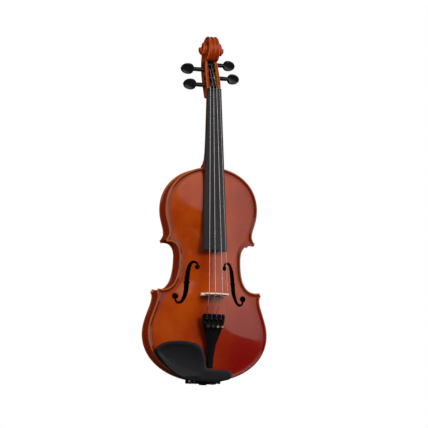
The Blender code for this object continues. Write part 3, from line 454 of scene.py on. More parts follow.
def edged(mat, colour):
    """Worn rim that also carries a painted highlight, darker channel and purfling, by the distance from
    the outline in mm.
    """
    gap = mat.node("Attribute", attribute_name="edge_d").outputs["Fac"]
    # the band within about 11 mm of the outline is darker, channel and rim alike; the rim's crest turns
    # orange in patches, worn varnish that also serves as a painted highlight of the light the rounded
    # crest catches
    colour = mat.mix(mat.ramp(gap, (11.0, 5.6), to=(0.0, 0.42)), colour, (0.10, 0.007, 0.002))
    patches = mat.ramp(mat.noise(scale=60.0), (0.2, 0.55), to=(0.55, 1.0))
    # painted highlight with wear: orange along the rim's crest, within 2.9 mm of the outline
    wear_and_highlight = mat.times(mat.ramp(gap, (2.9, 1.1), to=(0.0, 0.8)), patches)
    colour = mat.mix(wear_and_highlight, colour, (0.56, 0.15, 0.035))
    line = mat.times(mat.ramp(gap, (3.15, 3.45)), mat.ramp(gap, (5.15, 4.85)))
    middle = mat.times(mat.ramp(gap, (3.75, 3.9)), mat.ramp(gap, (4.6, 4.45)))
    purfling = mat.tint((0.016, 0.004, 0.004), (0.16, 0.06, 0.02), middle, share=0.35)
    mat.bump(mat.minus(1.0, line), strength=0.15, distance=0.0001)
    return mat.tint(colour, purfling, line, share=0.94)


def painted_treble_shade(mat, colour, share):
    """Painted shade: deeper red towards the treble side and the lower bout, which lie in shade."""
    x, z = mat.axis("X"), mat.axis("Z")
    side = mat.ramp(mat.minus(x, mat.times(z, 0.10)), (-0.045, 0.055))
    low = mat.ramp(z, (0.175, 0.06))
    shadow = mat.times(side, mat.plus(0.22, mat.times(low, 0.78)))
    return mat.tint(colour, (0.23, 0.0018, 0.0002), shadow, share)


def varnished(name, flame=None, edge=False, golden=False, deep=0.0, rich=0.0, coat=1.0):
    """Oil varnish over spruce, or over maple where a flame direction is given."""
    mat = Material(name)
    cloud = mat.noise(scale=14.0, detail=3.0)
    patch = mat.noise(scale=45.0, stretch=(1, 1, 0.45), detail=5.0)
    warm = mat.plus(mat.times(cloud, 0.65), mat.times(patch, 0.35))
    red, orange = (0.34, 0.036, 0.0015), (0.47, 0.082, 0.003)
    colour = mat.mix(mat.ramp(warm, (0.36, 0.64)), red, orange)
    colour = flamed(mat, colour, flame) if flame else ringed(mat, colour)
    if golden:  # the middle of the neck is rubbed pale
        from_middle = mat.math("ABSOLUTE", mat.minus(mat.axis("Z"), 0.437), 0.0)
        bare = mat.ramp(from_middle, (0.062, 0.036))
        colour = mat.tint(colour, (0.36, 0.15, 0.035), bare, share=0.75)
    if edge:
        colour = edged(mat, colour)
    # painted shade: deeper red towards the treble side and the lower bout
    if deep:
        colour = painted_treble_shade(mat, colour, deep)
    # partly painted shade: a mix towards deep red, partly the varnish's own colour and partly the shade
    # the ribs lie in
    if rich:
        colour = mat.mix(rich, colour, (0.33, 0.007, 0.0008))
    dirt = mat.noise(scale=9.0, detail=6.0, rough=0.65)
    dirt = mat.ramp(dirt, (0.52, 0.78), to=(0.0, 0.28))
    mat.put("Base Color", mat.mix(dirt, colour, (0.06, 0.003, 0.001)))
    mat.vary("Roughness", mat.noise(scale=120.0), low=0.30, high=0.44)
    mat.put("Coat Weight", coat)
    mat.vary("Coat Roughness", mat.noise(scale=55.0, detail=5.0), low=0.035, high=0.085)
    mat.put("Specular IOR Level", 0.12)
    mat.put("Coat IOR", 1.52)
    mat.put("Coat Tint", (1.0, 0.80, 0.60))
    mat.bump(mat.noise(scale=70.0, detail=2.0), strength=0.10, distance=0.0004)
    return mat.material


def dark_wood(name, dark=(0.0085, 0.007, 0.009), light=(0.021, 0.0175, 0.022),
              rough=(0.34, 0.5), axis="Z", coat=0.15):
    """Fibred black wood or its look-alike, with the fibres along an axis."""
    def drawn(amount):
        return (1, 1, amount) if axis == "Z" else (amount, 1, 1)

    mat = Material(name)
    fibre = mat.noise(scale=620.0, stretch=drawn(0.035), rough=0.6)
    broad = mat.noise(scale=60.0, stretch=drawn(0.12), detail=3.0)
    pores = mat.noise(scale=1500.0, stretch=drawn(0.035), detail=2.0)
    pores = mat.ramp(pores, (0.60, 0.68))
    streaks = mat.times(mat.ramp(fibre, (0.4, 0.7)), mat.ramp(broad, (0.35, 0.7)))
    colour = mat.mix(streaks, dark, light)
    mat.put("Base Color", mat.tint(colour, (0.008, 0.007, 0.008), pores, share=0.5))
    mat.vary("Roughness", mat.noise(scale=90.0, stretch=drawn(0.035), detail=5.0), *rough)
    mat.put("Coat Weight", coat)
    mat.put("Coat Roughness", 0.12)
    mat.put("Specular IOR Level", 0.32)
    mat.bump(fibre, strength=0.12, distance=0.0001)
    mat.bump(pores, strength=-0.12, distance=0.0001)
    return mat.material


def metal(name, colour, tarnish, rough=(0.12, 0.3), metallic=1.0):
    mat = Material(name)
    spots = mat.ramp(mat.noise(scale=180.0, detail=6.0), (0.45, 0.72), to=(0.0, 0.55))
    mat.put("Base Color", mat.mix(spots, colour, tarnish))
    mat.put("Metallic", metallic)
    scratches = mat.noise(scale=260.0, stretch=(1, 1, 6), detail=3.0)
    mat.vary("Roughness", scratches, *rough)
    mat.bump(scratches, strength=0.05, distance=0.00005)
    return mat.material


def plain_wood(name, light, dark, scale=330.0, direction="X", rough=(0.5, 0.75),
               flecks=0.25, specular=0.5):
    """Bare wood with growth bands, cloudy darkening and small flecks."""
    mat = Material(name)
    stretch = (1, 1, 0.08) if direction == "X" else (1, 1, 1)
    bands = mat.wave(scale=scale, direction=direction, distortion=1.6, detail=2.0,
                     detail_scale=0.6, stretch=stretch)
    cloud = mat.noise(scale=40.0, stretch=(1, 1, 0.3), detail=5.0)
    colour = mat.tint(light, dark, bands, share=0.5)
    colour = mat.mix(mat.ramp(cloud, (0.4, 0.75), to=(0.0, 0.45)), colour, dark)
    fleck = mat.noise(scale=900.0, stretch=(0.3, 1, 1), detail=2.0)
    fleck = mat.ramp(fleck, (0.62, 0.7))
    mat.put("Base Color", mat.tint(colour, dark, fleck, flecks))
    mat.vary("Roughness", cloud, *rough)
    mat.put("Specular IOR Level", specular)
    mat.bump(bands, strength=0.08, distance=0.0001)
    mat.bump(fleck, strength=-0.08, distance=0.0001)
    return mat.material


def wound(name, colour, dark, turns, metallic=0.85, rough=(0.22, 0.4)):
    """A string's winding: fine turns across its length, a little tarnish."""
    mat = Material(name)
    winding = mat.wave(scale=turns, direction="Z", distortion=0.0, detail=0.0,
                       detail_scale=0.0)
    cloud = mat.noise(scale=150.0, detail=5.0)
    colour = mat.tint(colour, dark, winding, share=0.35)
    tarnish = mat.ramp(cloud, (0.5, 0.75), to=(0.0, 0.5))
    mat.put("Base Color", mat.mix(tarnish, colour, dark))
    mat.put("Metallic", metallic)
    mat.vary("Roughness", cloud, *rough)
    mat.bump(winding, strength=0.08, distance=0.00005)
    return mat.material


def silk(name, colour, dark):
    return wound(name, colour, dark, turns=1300.0, metallic=0.0, rough=(0.55, 0.75))


def cork():
    mat = Material("cork")
    inputs = {"Vector": mat.coords, "Scale": 900.0}
    cells = mat.node("TexVoronoi", inputs).outputs["Distance"]
    cloud = mat.noise(scale=260.0, detail=6.0)
    colour = mat.mix(mat.ramp(cloud, (0.35, 0.7)), (0.40, 0.22, 0.10), (0.60, 0.38, 0.20))
    seams = mat.ramp(cells, (0.0, 0.35), to=(0.5, 0.0))
    mat.put("Base Color", mat.mix(seams, colour, (0.14, 0.07, 0.03)))
    mat.vary("Roughness", cloud, low=0.75, high=0.95)
    mat.bump(cells, strength=0.4, distance=0.0003)
    return mat.material


# the top's varnish carries painted shade towards the treble side and the lower bout
SPRUCE = varnished("spruce_varnish", edge=True, deep=1.0)
MAPLE_BACK = varnished("maple_back_varnish", flame="Z", edge=True)
# the ribs' deep red is partly painted shade
MAPLE_RIB = varnished("maple_rib_varnish", flame="DIAGONAL", rich=0.72, coat=0.25)
MAPLE_NECK = varnished("maple_neck_varnish", flame="Z", golden=True, rich=0.22, coat=0.45)
# worn edges of the pegbox and scroll, lightened orange also as a painted highlight of the light their
# rounded edges catch
MAPLE_WORN_LIT = plain_wood("maple_worn_lit_edge", light=(0.62, 0.19, 0.035), dark=(0.40, 0.085, 0.012),
                        scale=300.0, direction="Z", rough=(0.25, 0.4), flecks=0.15)
EBONY = dark_wood("ebony_wood")
EBONY_PEG = dark_wood("ebony_peg", dark=(0.006, 0.0055, 0.007), light=(0.014, 0.012, 0.013),
                      rough=(0.16, 0.3), axis="X", coat=0.5)
POLISHED = dark_wood("black_polished", dark=(0.0022, 0.002, 0.0026),
                     light=(0.0045, 0.004, 0.005), rough=(0.2, 0.3), coat=0.35)
SATIN = dark_wood("black_satin", dark=(0.0045, 0.004, 0.0055), light=(0.008, 0.007, 0.009),
                  rough=(0.42, 0.55), axis="X", coat=0.1)
BRIDGE = plain_wood("bridge_wood", light=(1.0, 0.86, 0.74), dark=(0.84, 0.62, 0.44),
                    scale=420.0, rough=(0.45, 0.65), flecks=0.45)
# wood inside the body and the cut walls of the sound holes carry almost no shine; the bare wood inside
# the body is also darkened as painted shade, for the shadow it lies in
SHADED_BARE = plain_wood("inside_spruce_shaded", light=(0.26, 0.165, 0.075), dark=(0.16, 0.085, 0.035),
                  specular=0.04)
PEG_END = plain_wood("peg_end_grain", light=(0.34, 0.20, 0.09), dark=(0.16, 0.08, 0.03))
# bare wood inside the pegbox, brightened golden as painted light where no lamp reaches
INSIDE = plain_wood("pegbox_inside", light=(0.92, 0.46, 0.05), dark=(0.70, 0.30, 0.025))
EDGE_WOOD = plain_wood("cut_edge_wood", light=(0.030, 0.010, 0.005),
                       dark=(0.012, 0.004, 0.002), rough=(0.8, 0.95), specular=0.04)
CHROME = metal("nickel_plate", colour=(0.80, 0.79, 0.77), tarnish=(0.45, 0.42, 0.38))
BLACK_STEEL = metal("blackened_steel", colour=(0.050, 0.048, 0.052),
                    tarnish=(0.018, 0.016, 0.018), rough=(0.22, 0.4), metallic=0.85)
BRASS = metal("brass", colour=(0.85, 0.60, 0.22), tarnish=(0.42, 0.24, 0.08),
              rough=(0.16, 0.34))
CORK = cork()
GUT = dark_wood("tailgut_nylon", dark=(0.018, 0.017, 0.018), light=(0.04, 0.038, 0.04),
                rough=(0.3, 0.42))
STRING = {
    "g": wound("string_silver", (0.86, 0.83, 0.80), (0.70, 0.67, 0.64), turns=1700.0),
    "d": wound("string_aluminium", (0.84, 0.82, 0.81), (0.69, 0.67, 0.66), turns=1900.0),
    "a": wound("string_flat_wound", (0.86, 0.84, 0.83), (0.71, 0.69, 0.68), turns=2100.0),
    "e": wound("string_plain_steel", (0.92, 0.90, 0.88), (0.66, 0.64, 0.62), turns=2600.0,
               rough=(0.12, 0.22)),
}
SILK = {
    "g": silk("silk_dark", (0.05, 0.045, 0.06), (0.015, 0.014, 0.02)),
    "d": silk("silk_blue", (0.035, 0.09, 0.28), (0.012, 0.03, 0.10)),
    "a": silk("silk_purple", (0.19, 0.045, 0.17), (0.07, 0.016, 0.07)),
    "e": silk("silk_teal", (0.03, 0.20, 0.22), (0.01, 0.07, 0.08)),
}
# painted shade: near-black wood for inner faces that lie in shadow, inside the body and the pegbox
SHADED_INSIDE = plain_wood("body_inside", light=(0.020, 0.009, 0.004),
                         dark=(0.010, 0.004, 0.002), rough=(0.85, 0.95), specular=0.04)
COIL = {
    "g": SILK["g"],
    "d": silk("silk_navy", (0.010, 0.035, 0.085), (0.004, 0.012, 0.035)),
    "a": silk("silk_deep_teal", (0.008, 0.05, 0.075), (0.003, 0.02, 0.03)),
    "e": STRING["e"],
}
NECK_WOODS = [MAPLE_NECK, INSIDE, MAPLE_WORN_LIT]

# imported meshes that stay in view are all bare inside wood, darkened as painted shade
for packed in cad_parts.values():
    packed.data.materials.clear()
    packed.data.materials.append(SHADED_BARE)


# ---------------------------------------------------------------- outline and arching
# the treble half of the outline, from the lower end up
LOWER_A = bezier((0, 1.4), (55, 1.4), (103.3, 32), (103.3, 79), 44)
LOWER_B = bezier((103.3, 79), (103.3, 108), (81.3, 134.9), (91.2, 146.6), 32)
TIP_LOW = np.linspace((91.2, 146.6), (88.0, 151.8), 5)
WAIST_A = bezier((88, 151.8), (62, 146.8), (53.3, 170), (53.3, 206), 40)
WAIST_B = bezier((53.3, 206), (53.3, 220), (58.4, 232.3), (75.8, 229), 24)
TIP_UP = np.linspace((75.8, 229), (77.9, 233.2), 4)
UPPER_A = bezier((77.9, 233.2), (64, 246.7), (80, 259.4), (80, 287), 28)
UPPER_B = bezier((80, 287), (80, 331.6), (42.6, 357.8), (0, 357.8), 44)
# each run with the y of the centre-line points that its two ends are joined to
RUNS = (
    (LOWER_A, 50, 90), (LOWER_B, 90, 132), (TIP_LOW, 132, 137), (WAIST_A, 137, 194),
    (WAIST_B, 194, 242), (TIP_UP, 242, 247), (UPPER_A, 247, 280), (UPPER_B, 280, 312),
)


def whole_outline():
    """The closed outline, and the centre-line point that each of its points runs in to."""
    points, spine = [RUNS[0][0][0]], [RUNS[0][1]]
    for run, start, end in RUNS:
        points += list(run[1:])
        spine += list(np.linspace(start, end, len(run))[1:])
    points, spine = np.array(points), np.array(spine)
    points[0, 0] = points[-1, 0] = 0.0
    points = np.vstack([points, points[1:-1][::-1] * (-1, 1)])
    spine = np.concatenate([spine, spine[1:-1][::-1]])
    return points, np.stack([np.zeros(len(spine)), spine], 1)


OUTLINE, SPINE = whole_outline()
# half width of the arching at each y
ARCH_HALF = monotone(
    (7.4, 9, 12, 16, 22, 30, 40, 53, 67, 80, 95, 110, 125, 140, 155, 170, 185, 204, 218, 230,
     242, 255, 270, 287, 303, 318, 330, 340, 346, 350, 351.8),
    (0.5, 18, 31, 44, 58, 72, 83, 91, 96, 97.3, 96, 91.5, 84, 73, 61.5, 52.5, 48.2, 47, 49, 55,
     62, 68, 72, 74, 72, 66.5, 58, 46, 35, 22, 0.5),
)
TOP_APEX, BACK_APEX = 15.5, 15.0
CHANNEL = 2.7  # height of the channel's floor
RIB_DEPTH = 31.0


def edge_distance(points):
    """True distance of plan points from the outline."""
    sides = np.roll(OUTLINE, -1, axis=0) - OUTLINE
    squares = (sides**2).sum(1)
    out = np.empty(len(points))
    for k in range(0, len(points), 2000):
        p = points[k : k + 2000, None, :]
        t = np.clip(((p - OUTLINE) * sides).sum(2) / squares, 0, 1)
        nearest = OUTLINE + sides * t[..., None]
        out[k : k + 2000] = np.sqrt(((nearest - p) ** 2).sum(2).min(1))
    return out


def arching(points, apex):
    """Height of a plate's outer face over plan points: rounded rim, channel, arch."""
    x, y = points[:, 0], points[:, 1]
    gap = edge_distance(points)
    rim = 1.9 + 2.0 * np.sqrt(np.clip(1 - (1 - np.clip(gap, 0, 1.5) / 1.5) ** 2, 0, 1))
    edge = np.where(gap < 1.5, rim, 3.9 - 1.2 * ease(gap, 1.7, 6.0))
    from_middle = np.clip(np.abs((y - 180.0) / 172.0), 0, 1)
    crest = CHANNEL + (apex - CHANNEL) * np.cos(PI / 2 * from_middle**2.3)
    across = np.clip(np.abs(x) / np.maximum(ARCH_HALF(y), 0.5), 0, 1)
    return edge + (crest - CHANNEL) * (1 + np.cos(PI * across)) / 2 * ease(gap, 5.5, 14.5)


def plate(name, up, apex, materials):
    """The top (up = 1) or back (up = -1): rings run inwards outside, then inside."""
    reach = np.linalg.norm(SPINE - OUTLINE, axis=1)[:, None]
    base = 0.0 if up > 0 else -RIB_DEPTH
    rim_steps = [
        0, 0.12, 0.35, 0.7, 1.1, 1.5, 2.0, 2.5, 2.9, 3.2, 3.5, 3.85, 4.2, 4.55, 4.9, 5.2, 5.6,
        6.2, 7.2, 8.5, 10.2, 12.4,
    ]
    underside = [(0.12, 1.1), (0.5, 0.35), (1.1, -0.26), (9.5, -0.26)]  # inset, height
    thickness = 2.9

    def inward(share):
        return OUTLINE + (SPINE - OUTLINE) * share

    def onward(start, count):
        """Even rings from an inset to the centre line."""
        first = start / reach
        return [inward(first + (1 - first) * u) for u in np.linspace(0, 1, count)[1:]]

    def row(ring, height):
        return places(ring[:, 0], ring[:, 1], base + up * height)

    outside = [inward(np.minimum(step / reach, 0.9)) for step in rim_steps]
    outside += onward(rim_steps[-1], 27)
    rows = [row(ring, arching(ring, apex)) for ring in outside][::-1]
    rows += [row(inward(inset / reach), height) for inset, height in underside]
    for ring in onward(underside[-1][0], 15):
        rows.append(row(ring, np.maximum(arching(ring, apex) - thickness, -0.26)))
    return Build().grid(rows, caps=(False, False)).piece(name, materials, 50, 1e-6)


def store_edge_distance(obj):
    """Keeps each vertex's distance from the outline for the varnish."""
    x, y, _ = plan(coordinates(obj.data).T)
    gaps = edge_distance(np.stack([x, y], 1)).astype(np.float32)
    obj.data.attributes.new("edge_d", "FLOAT", "POINT").data.foreach_set("value", gaps)
    return gaps


# middle line of the treble sound hole's stem: x, y, width
F_STEM = [
    (22.9, 190.4, 2.6), (23.9, 195.6, 3.0), (28.4, 198.2, 4.0), (33.0, 196.3, 5.0),
    (36.0, 190.4, 6.2), (38.4, 179.4, 7.4), (40.0, 164.5, 7.9), (41.3, 150.0, 7.4),
    (44.4, 139.0, 6.2), (48.5, 131.8, 5.0), (53.6, 129.6, 4.0), (58.0, 132.6, 3.2),
    (59.4, 139.6, 2.8),
]
F_EYES = [(23.5, 189.8, 4.0), (58.8, 140.2, 5.3)]  # x, y, radius


def sound_hole(sign):
    """Cutters for one sound hole; their ends differ a little so that no faces coincide."""
    stem = catmull(F_STEM, 8)
    line = stem[:, :2]
    offset = normals(line) * (stem[:, 2] / 2)[:, None]
    outline = np.vstack([line + offset, (line - offset)[::-1]]) * (sign, 1)
    cutters = [prism(outline[::sign], -3, 24)]
    for x, y, radius in F_EYES:
        cutters.append(prism(circle(x * sign, y, radius, 40), -3.1, 24.1))
    for side in (1, -1):  # the two small nicks that mark the bridge line
        x = 40.1 * sign + 3.24 * side
        nick = [(x, 162.2), (x + 3.0 * side, 163.7), (x, 165.2)]
        cutters.append(prism(nick[::side], -2.9, 23.9))
    return cutters


def make_top():
    top = plate("top_fine", 1, TOP_APEX, [SPRUCE, EDGE_WOOD])
    cutters = sound_hole(1) + sound_hole(-1)
    # notches for the neck and the saddle
    for half, low, high in ((16.5, 350.2, 364), (17.8, -4, 7.3)):
        notch = [(-half, low), (half, low), (half, high), (-half, high)]
        cutters.append(prism(notch, -3, 9))
    carve(top, cutters, sharp=50)
    for face in top.data.polygons:
        x, _, z = face.center
        if abs(face.normal.y) < 0.35 and abs(x) < 0.068 and 0.125 < z < 0.212:
            face.material_index = 1
    store_edge_distance(top)
    finish(top,
           replaced=["top_plate", "purfling_top_treble", "purfling_top_bass"])


def make_back():
    back = plate("back_fine", -1, BACK_APEX, [MAPLE_BACK, SHADED_INSIDE])
    # the round button at the upper end, under the neck's heel
    half = 10.2
    arc = [(half * math.cos(a), 357.0 + 12.2 * math.sin(a)) for a in np.linspace(0, PI, 41)]
    outline = np.array([(half, 353.0)] + arc + [(-half, 353.0)])
    centre = np.array([0, 358.0])
    levels = [  # shrink, z
        (0.93, -31.2), (0.985, -31.35), (1.0, -31.8), (1.0, -33.4), (0.985, -34.2),
        (0.95, -34.6), (0.88, -34.7),
    ]
    rows = [
        [place(x, y, z) for x, y in centre + (outline - centre) * shrink]
        for shrink, z in levels
    ]
    button = Build().grid(rows).piece("button_tmp", [MAPLE_BACK])
    carve(back, [button], "UNION", 50)
    gaps = store_edge_distance(back)
    # painted shade: the back's inner faces, in shadow inside the body, get the near-black inside
    # material
    for face in back.data.polygons:
        inner = face.normal.y < -0.5 and min(gaps[i] for i in face.vertices) > 5.0
        if inner and face.center.z < 0.352:
            face.material_index = 1
    finish(back, replaced=["back_plate", "purfling_back"])


# ---------------------------------------------------------------- ribs
def clip_line(curve, point, normal, within=None):
    """Keeps the part of a curve on the normal's side of a line, or beyond its reach."""
    side = (curve - point) @ normal
    if within:
        side = np.where(np.linalg.norm(curve - point, axis=1) > within, 1.0, side)
    out = []
    for i in range(len(curve)):
        if i and (side[i] > 0) != (side[i - 1] > 0):
            share = side[i - 1] / (side[i - 1] - side[i])
            out.append(curve[i - 1] + (curve[i] - curve[i - 1]) * share)
        if side[i] > 0:
            out.append(curve[i])
    return np.array(out)


def corner_cuts(tip, side, clearance):
    """Clips that mitre a rib at a corner; side 1 keeps the part above it, -1 below."""
    start, end = tip[0], tip[-1]
    along = (end - start) / np.linalg.norm(end - start)
    out = np.array([along[1], -along[0]])
    middle = (start + end) / 2
    return [
        (middle - out * 2.6, -out, 20.0),
        (middle + along * side * clearance, along * side, None),
    ]


def end_cut(x):
    return [(np.array([x, 0]), np.array([1.0, 0]), None)]


# the outline along each rib and the clips that end it
BOUTS = {
    "lower": ((LOWER_A, LOWER_B), corner_cuts(TIP_LOW, -1, 0.0) + end_cut(0.05)),
    "middle": ((WAIST_A, WAIST_B),
               corner_cuts(TIP_LOW, 1, 0.15) + corner_cuts(TIP_UP, -1, 0.15)),
    "upper": ((UPPER_A, UPPER_B), corner_cuts(TIP_UP, 1, 0.0) + end_cut(15.5)),
}
RIB_INSETS = (2.6, 3.8)  # outer and inner face, in from the outline


def resample(curve, count):
    lengths = np.linalg.norm(np.diff(curve, axis=0), axis=1)
    travel = np.concatenate([[0], np.cumsum(lengths)])
    stops = np.linspace(0, travel[-1], count)
    return np.stack([np.interp(stops, travel, curve[:, i]) for i in (0, 1)], 1)


def make_rib(bout, sign, side):
    (first, second), cuts = BOUTS[bout]
    outline = np.vstack([first, second[1:]])
    faces = []
    for inset in RIB_INSETS:
        curve = outline + normals(outline) * inset
        for cut in cuts:
            curve = clip_line(curve, *cut)
        faces.append(resample(curve, 110) * (sign, 1))
    heights = np.linspace(-30.72, -0.28, 5)
    rows = [
        [place(*outer, z) for z in heights] + [place(*inner, z) for z in heights[::-1]]
        for outer, inner in zip(*faces)
    ]
    rib = Build().grid(rows).piece(f"rib_{bout}_{side}_fine", [MAPLE_RIB], 40)
    if bout == "lower":  # hole for the end button
        carve(rib, [bore(4.3, 30, 4.0, place(0, FLOOR_Y, MID_Z), (0, 0, 1), 32)], sharp=40)
    finish(rib)


# ---------------------------------------------------------------- strings and pegs, as data
String = namedtuple("String", "nut_x bridge_x bridge_z tail_x radius")
STRINGS = {
    "g": String(-8.25, -12.9, 45.0, -12.4, 0.42),
    "d": String(-2.75, -3.5, 48.0, -4.2, 0.38),
    "a": String(2.75, 9.1, 47.5, 4.2, 0.34),
    "e": String(8.25, 19.6, 42.0, 12.4, 0.20),
}
# side is the sign of x at the head; reach is from the middle to the head's centre; tilt in degrees
Peg = namedtuple("Peg", "y z side reach tilt")
PEGS = {
    "g": Peg(496.8, -15.5, -1, 39.2, 20),
    "e": Peg(510.2, -20.5, 1, 38.0, 14),
    "d": Peg(524.2, -27.5, -1, 40.5, 24),
    "a": Peg(534.0, -33.5, 1, 33.8, 18),
}

# ---------------------------------------------------------------- neck
NUT_Y = 486.0
BOARD_END = 216.0
BOARD_LENGTH = NUT_Y - BOARD_END
CAMBER = 42.0  # radius across the fingerboard
NECK_END = 489.5
NECK_TOP = 4.9  # down from the fingerboard's edge


def board_edge(y):
    return -0.5 + 30.0 * (NUT_Y - y) / BOARD_LENGTH


def board_half(y):
    return 12.0 + 9.0 * (NUT_Y - y) / BOARD_LENGTH


def board_top(x, y):
    half = board_half(y)
    rise = np.sqrt(CAMBER**2 - np.minimum(np.abs(x), half) ** 2)
    return board_edge(y) + rise - math.sqrt(CAMBER**2 - half * half)


# y, bottom z, superellipse power, side taper
HEEL = [
    (350.5, -30.7, 6.0, 0.395), (367.0, -30.7, 6.0, 0.395), (368.8, -28.0, 4.6, 0.37),
    (372.5, -24.0, 3.6, 0.31), (379.0, -19.6, 2.9, 0.2), (388.0, -16.2, 2.5, 0.1),
    (400.0, -13.9, 2.3, 0.02),
]


def make_shaft():
    """The heel and the neck's shaft, up to the pegbox."""
    stations = list(HEEL)
    for y in (415, 440, 470, NECK_END):
        bottom = board_edge(y) - NECK_TOP - 14.6 - 2.9 * (NECK_END - y) / 101.5
        stations.append((y, bottom, 2.25, 0.0))
    ys, *columns = zip(*stations)
    curves = [monotone(ys, column) for column in columns]
    rows = []
    heel_ys = [np.linspace(350.5, 366.4, 6), np.linspace(367, 380, 27)]
    for y in np.concatenate(heel_ys + [np.linspace(381, NECK_END, 56)]):
        half = min(board_half(y) - 0.4, 16.2)
        top = board_edge(y) - NECK_TOP
        bottom, power, taper = (float(curve(y)) for curve in curves)
        ring = [(half, top), (-half, top)]
        for k in range(1, 40):
            angle = PI * k / 40
            drop = abs(math.sin(angle)) ** (2 / power)
            x = -half * (1 - taper * drop) * bulge(math.cos(angle), 2 / power)
            ring.append((x, top - (top - bottom) * drop))
        rows.append(section(ring, y))
    return Build().grid(rows).piece("neck_fine", NECK_WOODS, 40)


# pegbox stations: front y, front z, back y, back z, half width
BOX = catmull([
    (487.5, -3.0, 476.5, -24.5, 12.0), (500.0, -7.0, 495.0, -33.5, 12.2),
    (515.0, -13.6, 512.5, -42.5, 11.9), (530.0, -20.2, 529.5, -49.6, 11.0),
    (541.0, -25.0, 544.0, -53.4, 9.8), (546.0, -27.5, 560.5, -53.0, 8.4),
], 9)


def box_section(front, back, half, tuck=0.0, shrink=1.0):
    """Pegbox section: rounded front edges, straight cheeks, back with two flutes and a ridge."""
    length = np.linalg.norm(back - front)
    back_half = half * 0.94
    # x, share of the way from front to back
    points = [(half - 1.1, 0.0), (half - 0.45, 0.12 / length), (half - 0.1, 0.5 / length),
              (half, 1.3 / length)]
    points += [(half + (back_half - half) * s, s) for s in (0.2, 0.4, 0.6, 0.8)]
    chamfer = ((0, 1.9), (0.35, 1.2), (1.1, 0.35), (1.6, 0.1))
    points += [(back_half - inset, 1 - lift / length) for inset, lift in chamfer]
    for u in (0.78, 0.66, 0.52, 0.38, 0.25, 0.13, 0.05, 0.0):
        dip = 1.1 * math.sin(PI * (0.86 - u) / 0.86) ** 2
        points.append((back_half * u, 1 - dip / length))
    middle = (front + back) / 2
    ring = []
    for x, share in points + mirrored(points[:-1]):
        y, z = middle + (front + (back - front) * share - middle) * shrink
        ring.append(place(x * shrink, y - tuck, z))
    return ring


def cavity_ring(share, depth, half):
    """One section of the pegbox's hollow, open beyond the front."""
    i, part = divmod(share * (len(BOX) - 1), 1)
    station = BOX[int(i)] * (1 - part) + BOX[int(i) + 1] * part
    front, back = station[:2], station[2:4]
    over, floor = front + (front - back) * 0.25, front + (back - front) * depth
    side = []
    for t in (0.0, 0.25, 0.5, 0.75, 1.0):
        angle = t * PI / 2
        x = half * 0.94 - 2.2 * (1 - math.cos(angle))
        side.append((x, floor + (over - floor) * (0.12 * (1 - math.sin(angle)))))
    ring = [(-half, over), (half, over)] + side + mirrored(side)
    return [place(x, y, z) for x, (y, z) in ring]


def make_pegbox():
    fronts, backs, halves = BOX[:, :2], BOX[:, 2:4], BOX[:, 4]
    rows = []
    # the lower end is tucked in to close under the nut: tuck, shrink
    for tuck, shrink in ((4.6, 0.30), (4.2, 0.56), (3.2, 0.76), (1.8, 0.91), (0.8, 0.975)):
        front = fronts[0] - (0, 1 - shrink)
        rows.append(box_section(front, backs[0], halves[0], tuck, shrink))
    rows += [box_section(*station) for station in zip(fronts, backs, halves)]
    # strips along the rounded front edges and the back's chamfers: worn, with a painted highlight
    worn_lit = {0, 1, 2, 8, 9, 10, 27, 28, 29, 35, 36, 37}
    pegbox = Build().grid(rows, worn_lit=worn_lit).piece("pegbox_tmp", NECK_WOODS, 30)

    shares = [0.07, 0.14, 0.3, 0.55, 0.76, 0.86]
    depth_at = monotone(shares, (0.36, 0.62, 0.70, 0.70, 0.62, 0.45))
    half_at = monotone(shares, (7.4, 7.6, 7.7, 7.2, 6.2, 5.6))
    rows = [
        cavity_ring(share, float(depth_at(share)), float(half_at(share)))
        for share in np.linspace(shares[0], shares[-1], 24)
    ]
    cutters = [Build().grid(rows).piece("cutter", [INSIDE])]
    for peg in PEGS.values():
        cutters.append(bore(4.1, 26, -26, place(0, peg.y, peg.z), (1, 0, 0), 28))
    carve(pegbox, cutters, sharp=30)
    # the walls of the cavity are bare wood, brightened golden as painted light
    for face in pegbox.data.polygons:
        x, y, z = plan(face.center)
        front = float(np.interp(y, fronts[:, 0], fronts[:, 1]))
        back = float(np.interp(y, backs[:, 0], backs[:, 1]))
        inside = front + (back - front) * 0.80 < z < front - 0.6
        if abs(x) < 8.1 and NECK_END < y < 545 and inside:
            face.material_index = 1
    return pegbox


SCROLL_TURNS = 2.1
TURN_STEPS = 90
LAST = int(TURN_STEPS * SCROLL_TURNS)  # the spiral's last step
SCROLL_Y, SCROLL_Z = 557.0, -27.5
CHAMFER = 0.9


def spiral_radius(k):
    return 26.4 - 21.8 * k / LAST


def spiral_half(k):
    """Half width at a step: even for a quarter turn, then widening to the eye."""
    quarter = PI / 2
    start = 2 * PI * k / TURN_STEPS - quarter
    share = np.clip(start / (2 * PI * SCROLL_TURNS - quarter), 0, 1)
    return 7.8 + 13.2 * share**1.05


def spiral_place(k, radius, x):
    angle = 2 * PI * k / TURN_STEPS
    return place(x, SCROLL_Y + radius * math.sin(angle), SCROLL_Z - radius * math.cos(angle))


def scroll_band():
    """The fluted outer band over the first full turn."""
    band = []
    for k in range(TURN_STEPS + 1):
        row = []
        for j in range(31):
            u = -1 + 2 * j / 30
            flute = 1.25 * math.sin(PI * (0.90 - abs(u)) / 0.90) ** 2 if abs(u) < 0.9 else 0.0
            radius = spiral_radius(k) - CHAMFER * 0.35 * (abs(u) > 0.999) - flute
            row.append(spiral_place(k, radius, (spiral_half(k) - CHAMFER) * u))
        band.append(row)
    return band


def rim_at(k):
    """Radius and x of the spiral's outer rim, inside its chamfer."""
    drop = CHAMFER * 0.35 if k <= TURN_STEPS else 0.0
    return spiral_radius(k) - drop, spiral_half(k) - CHAMFER


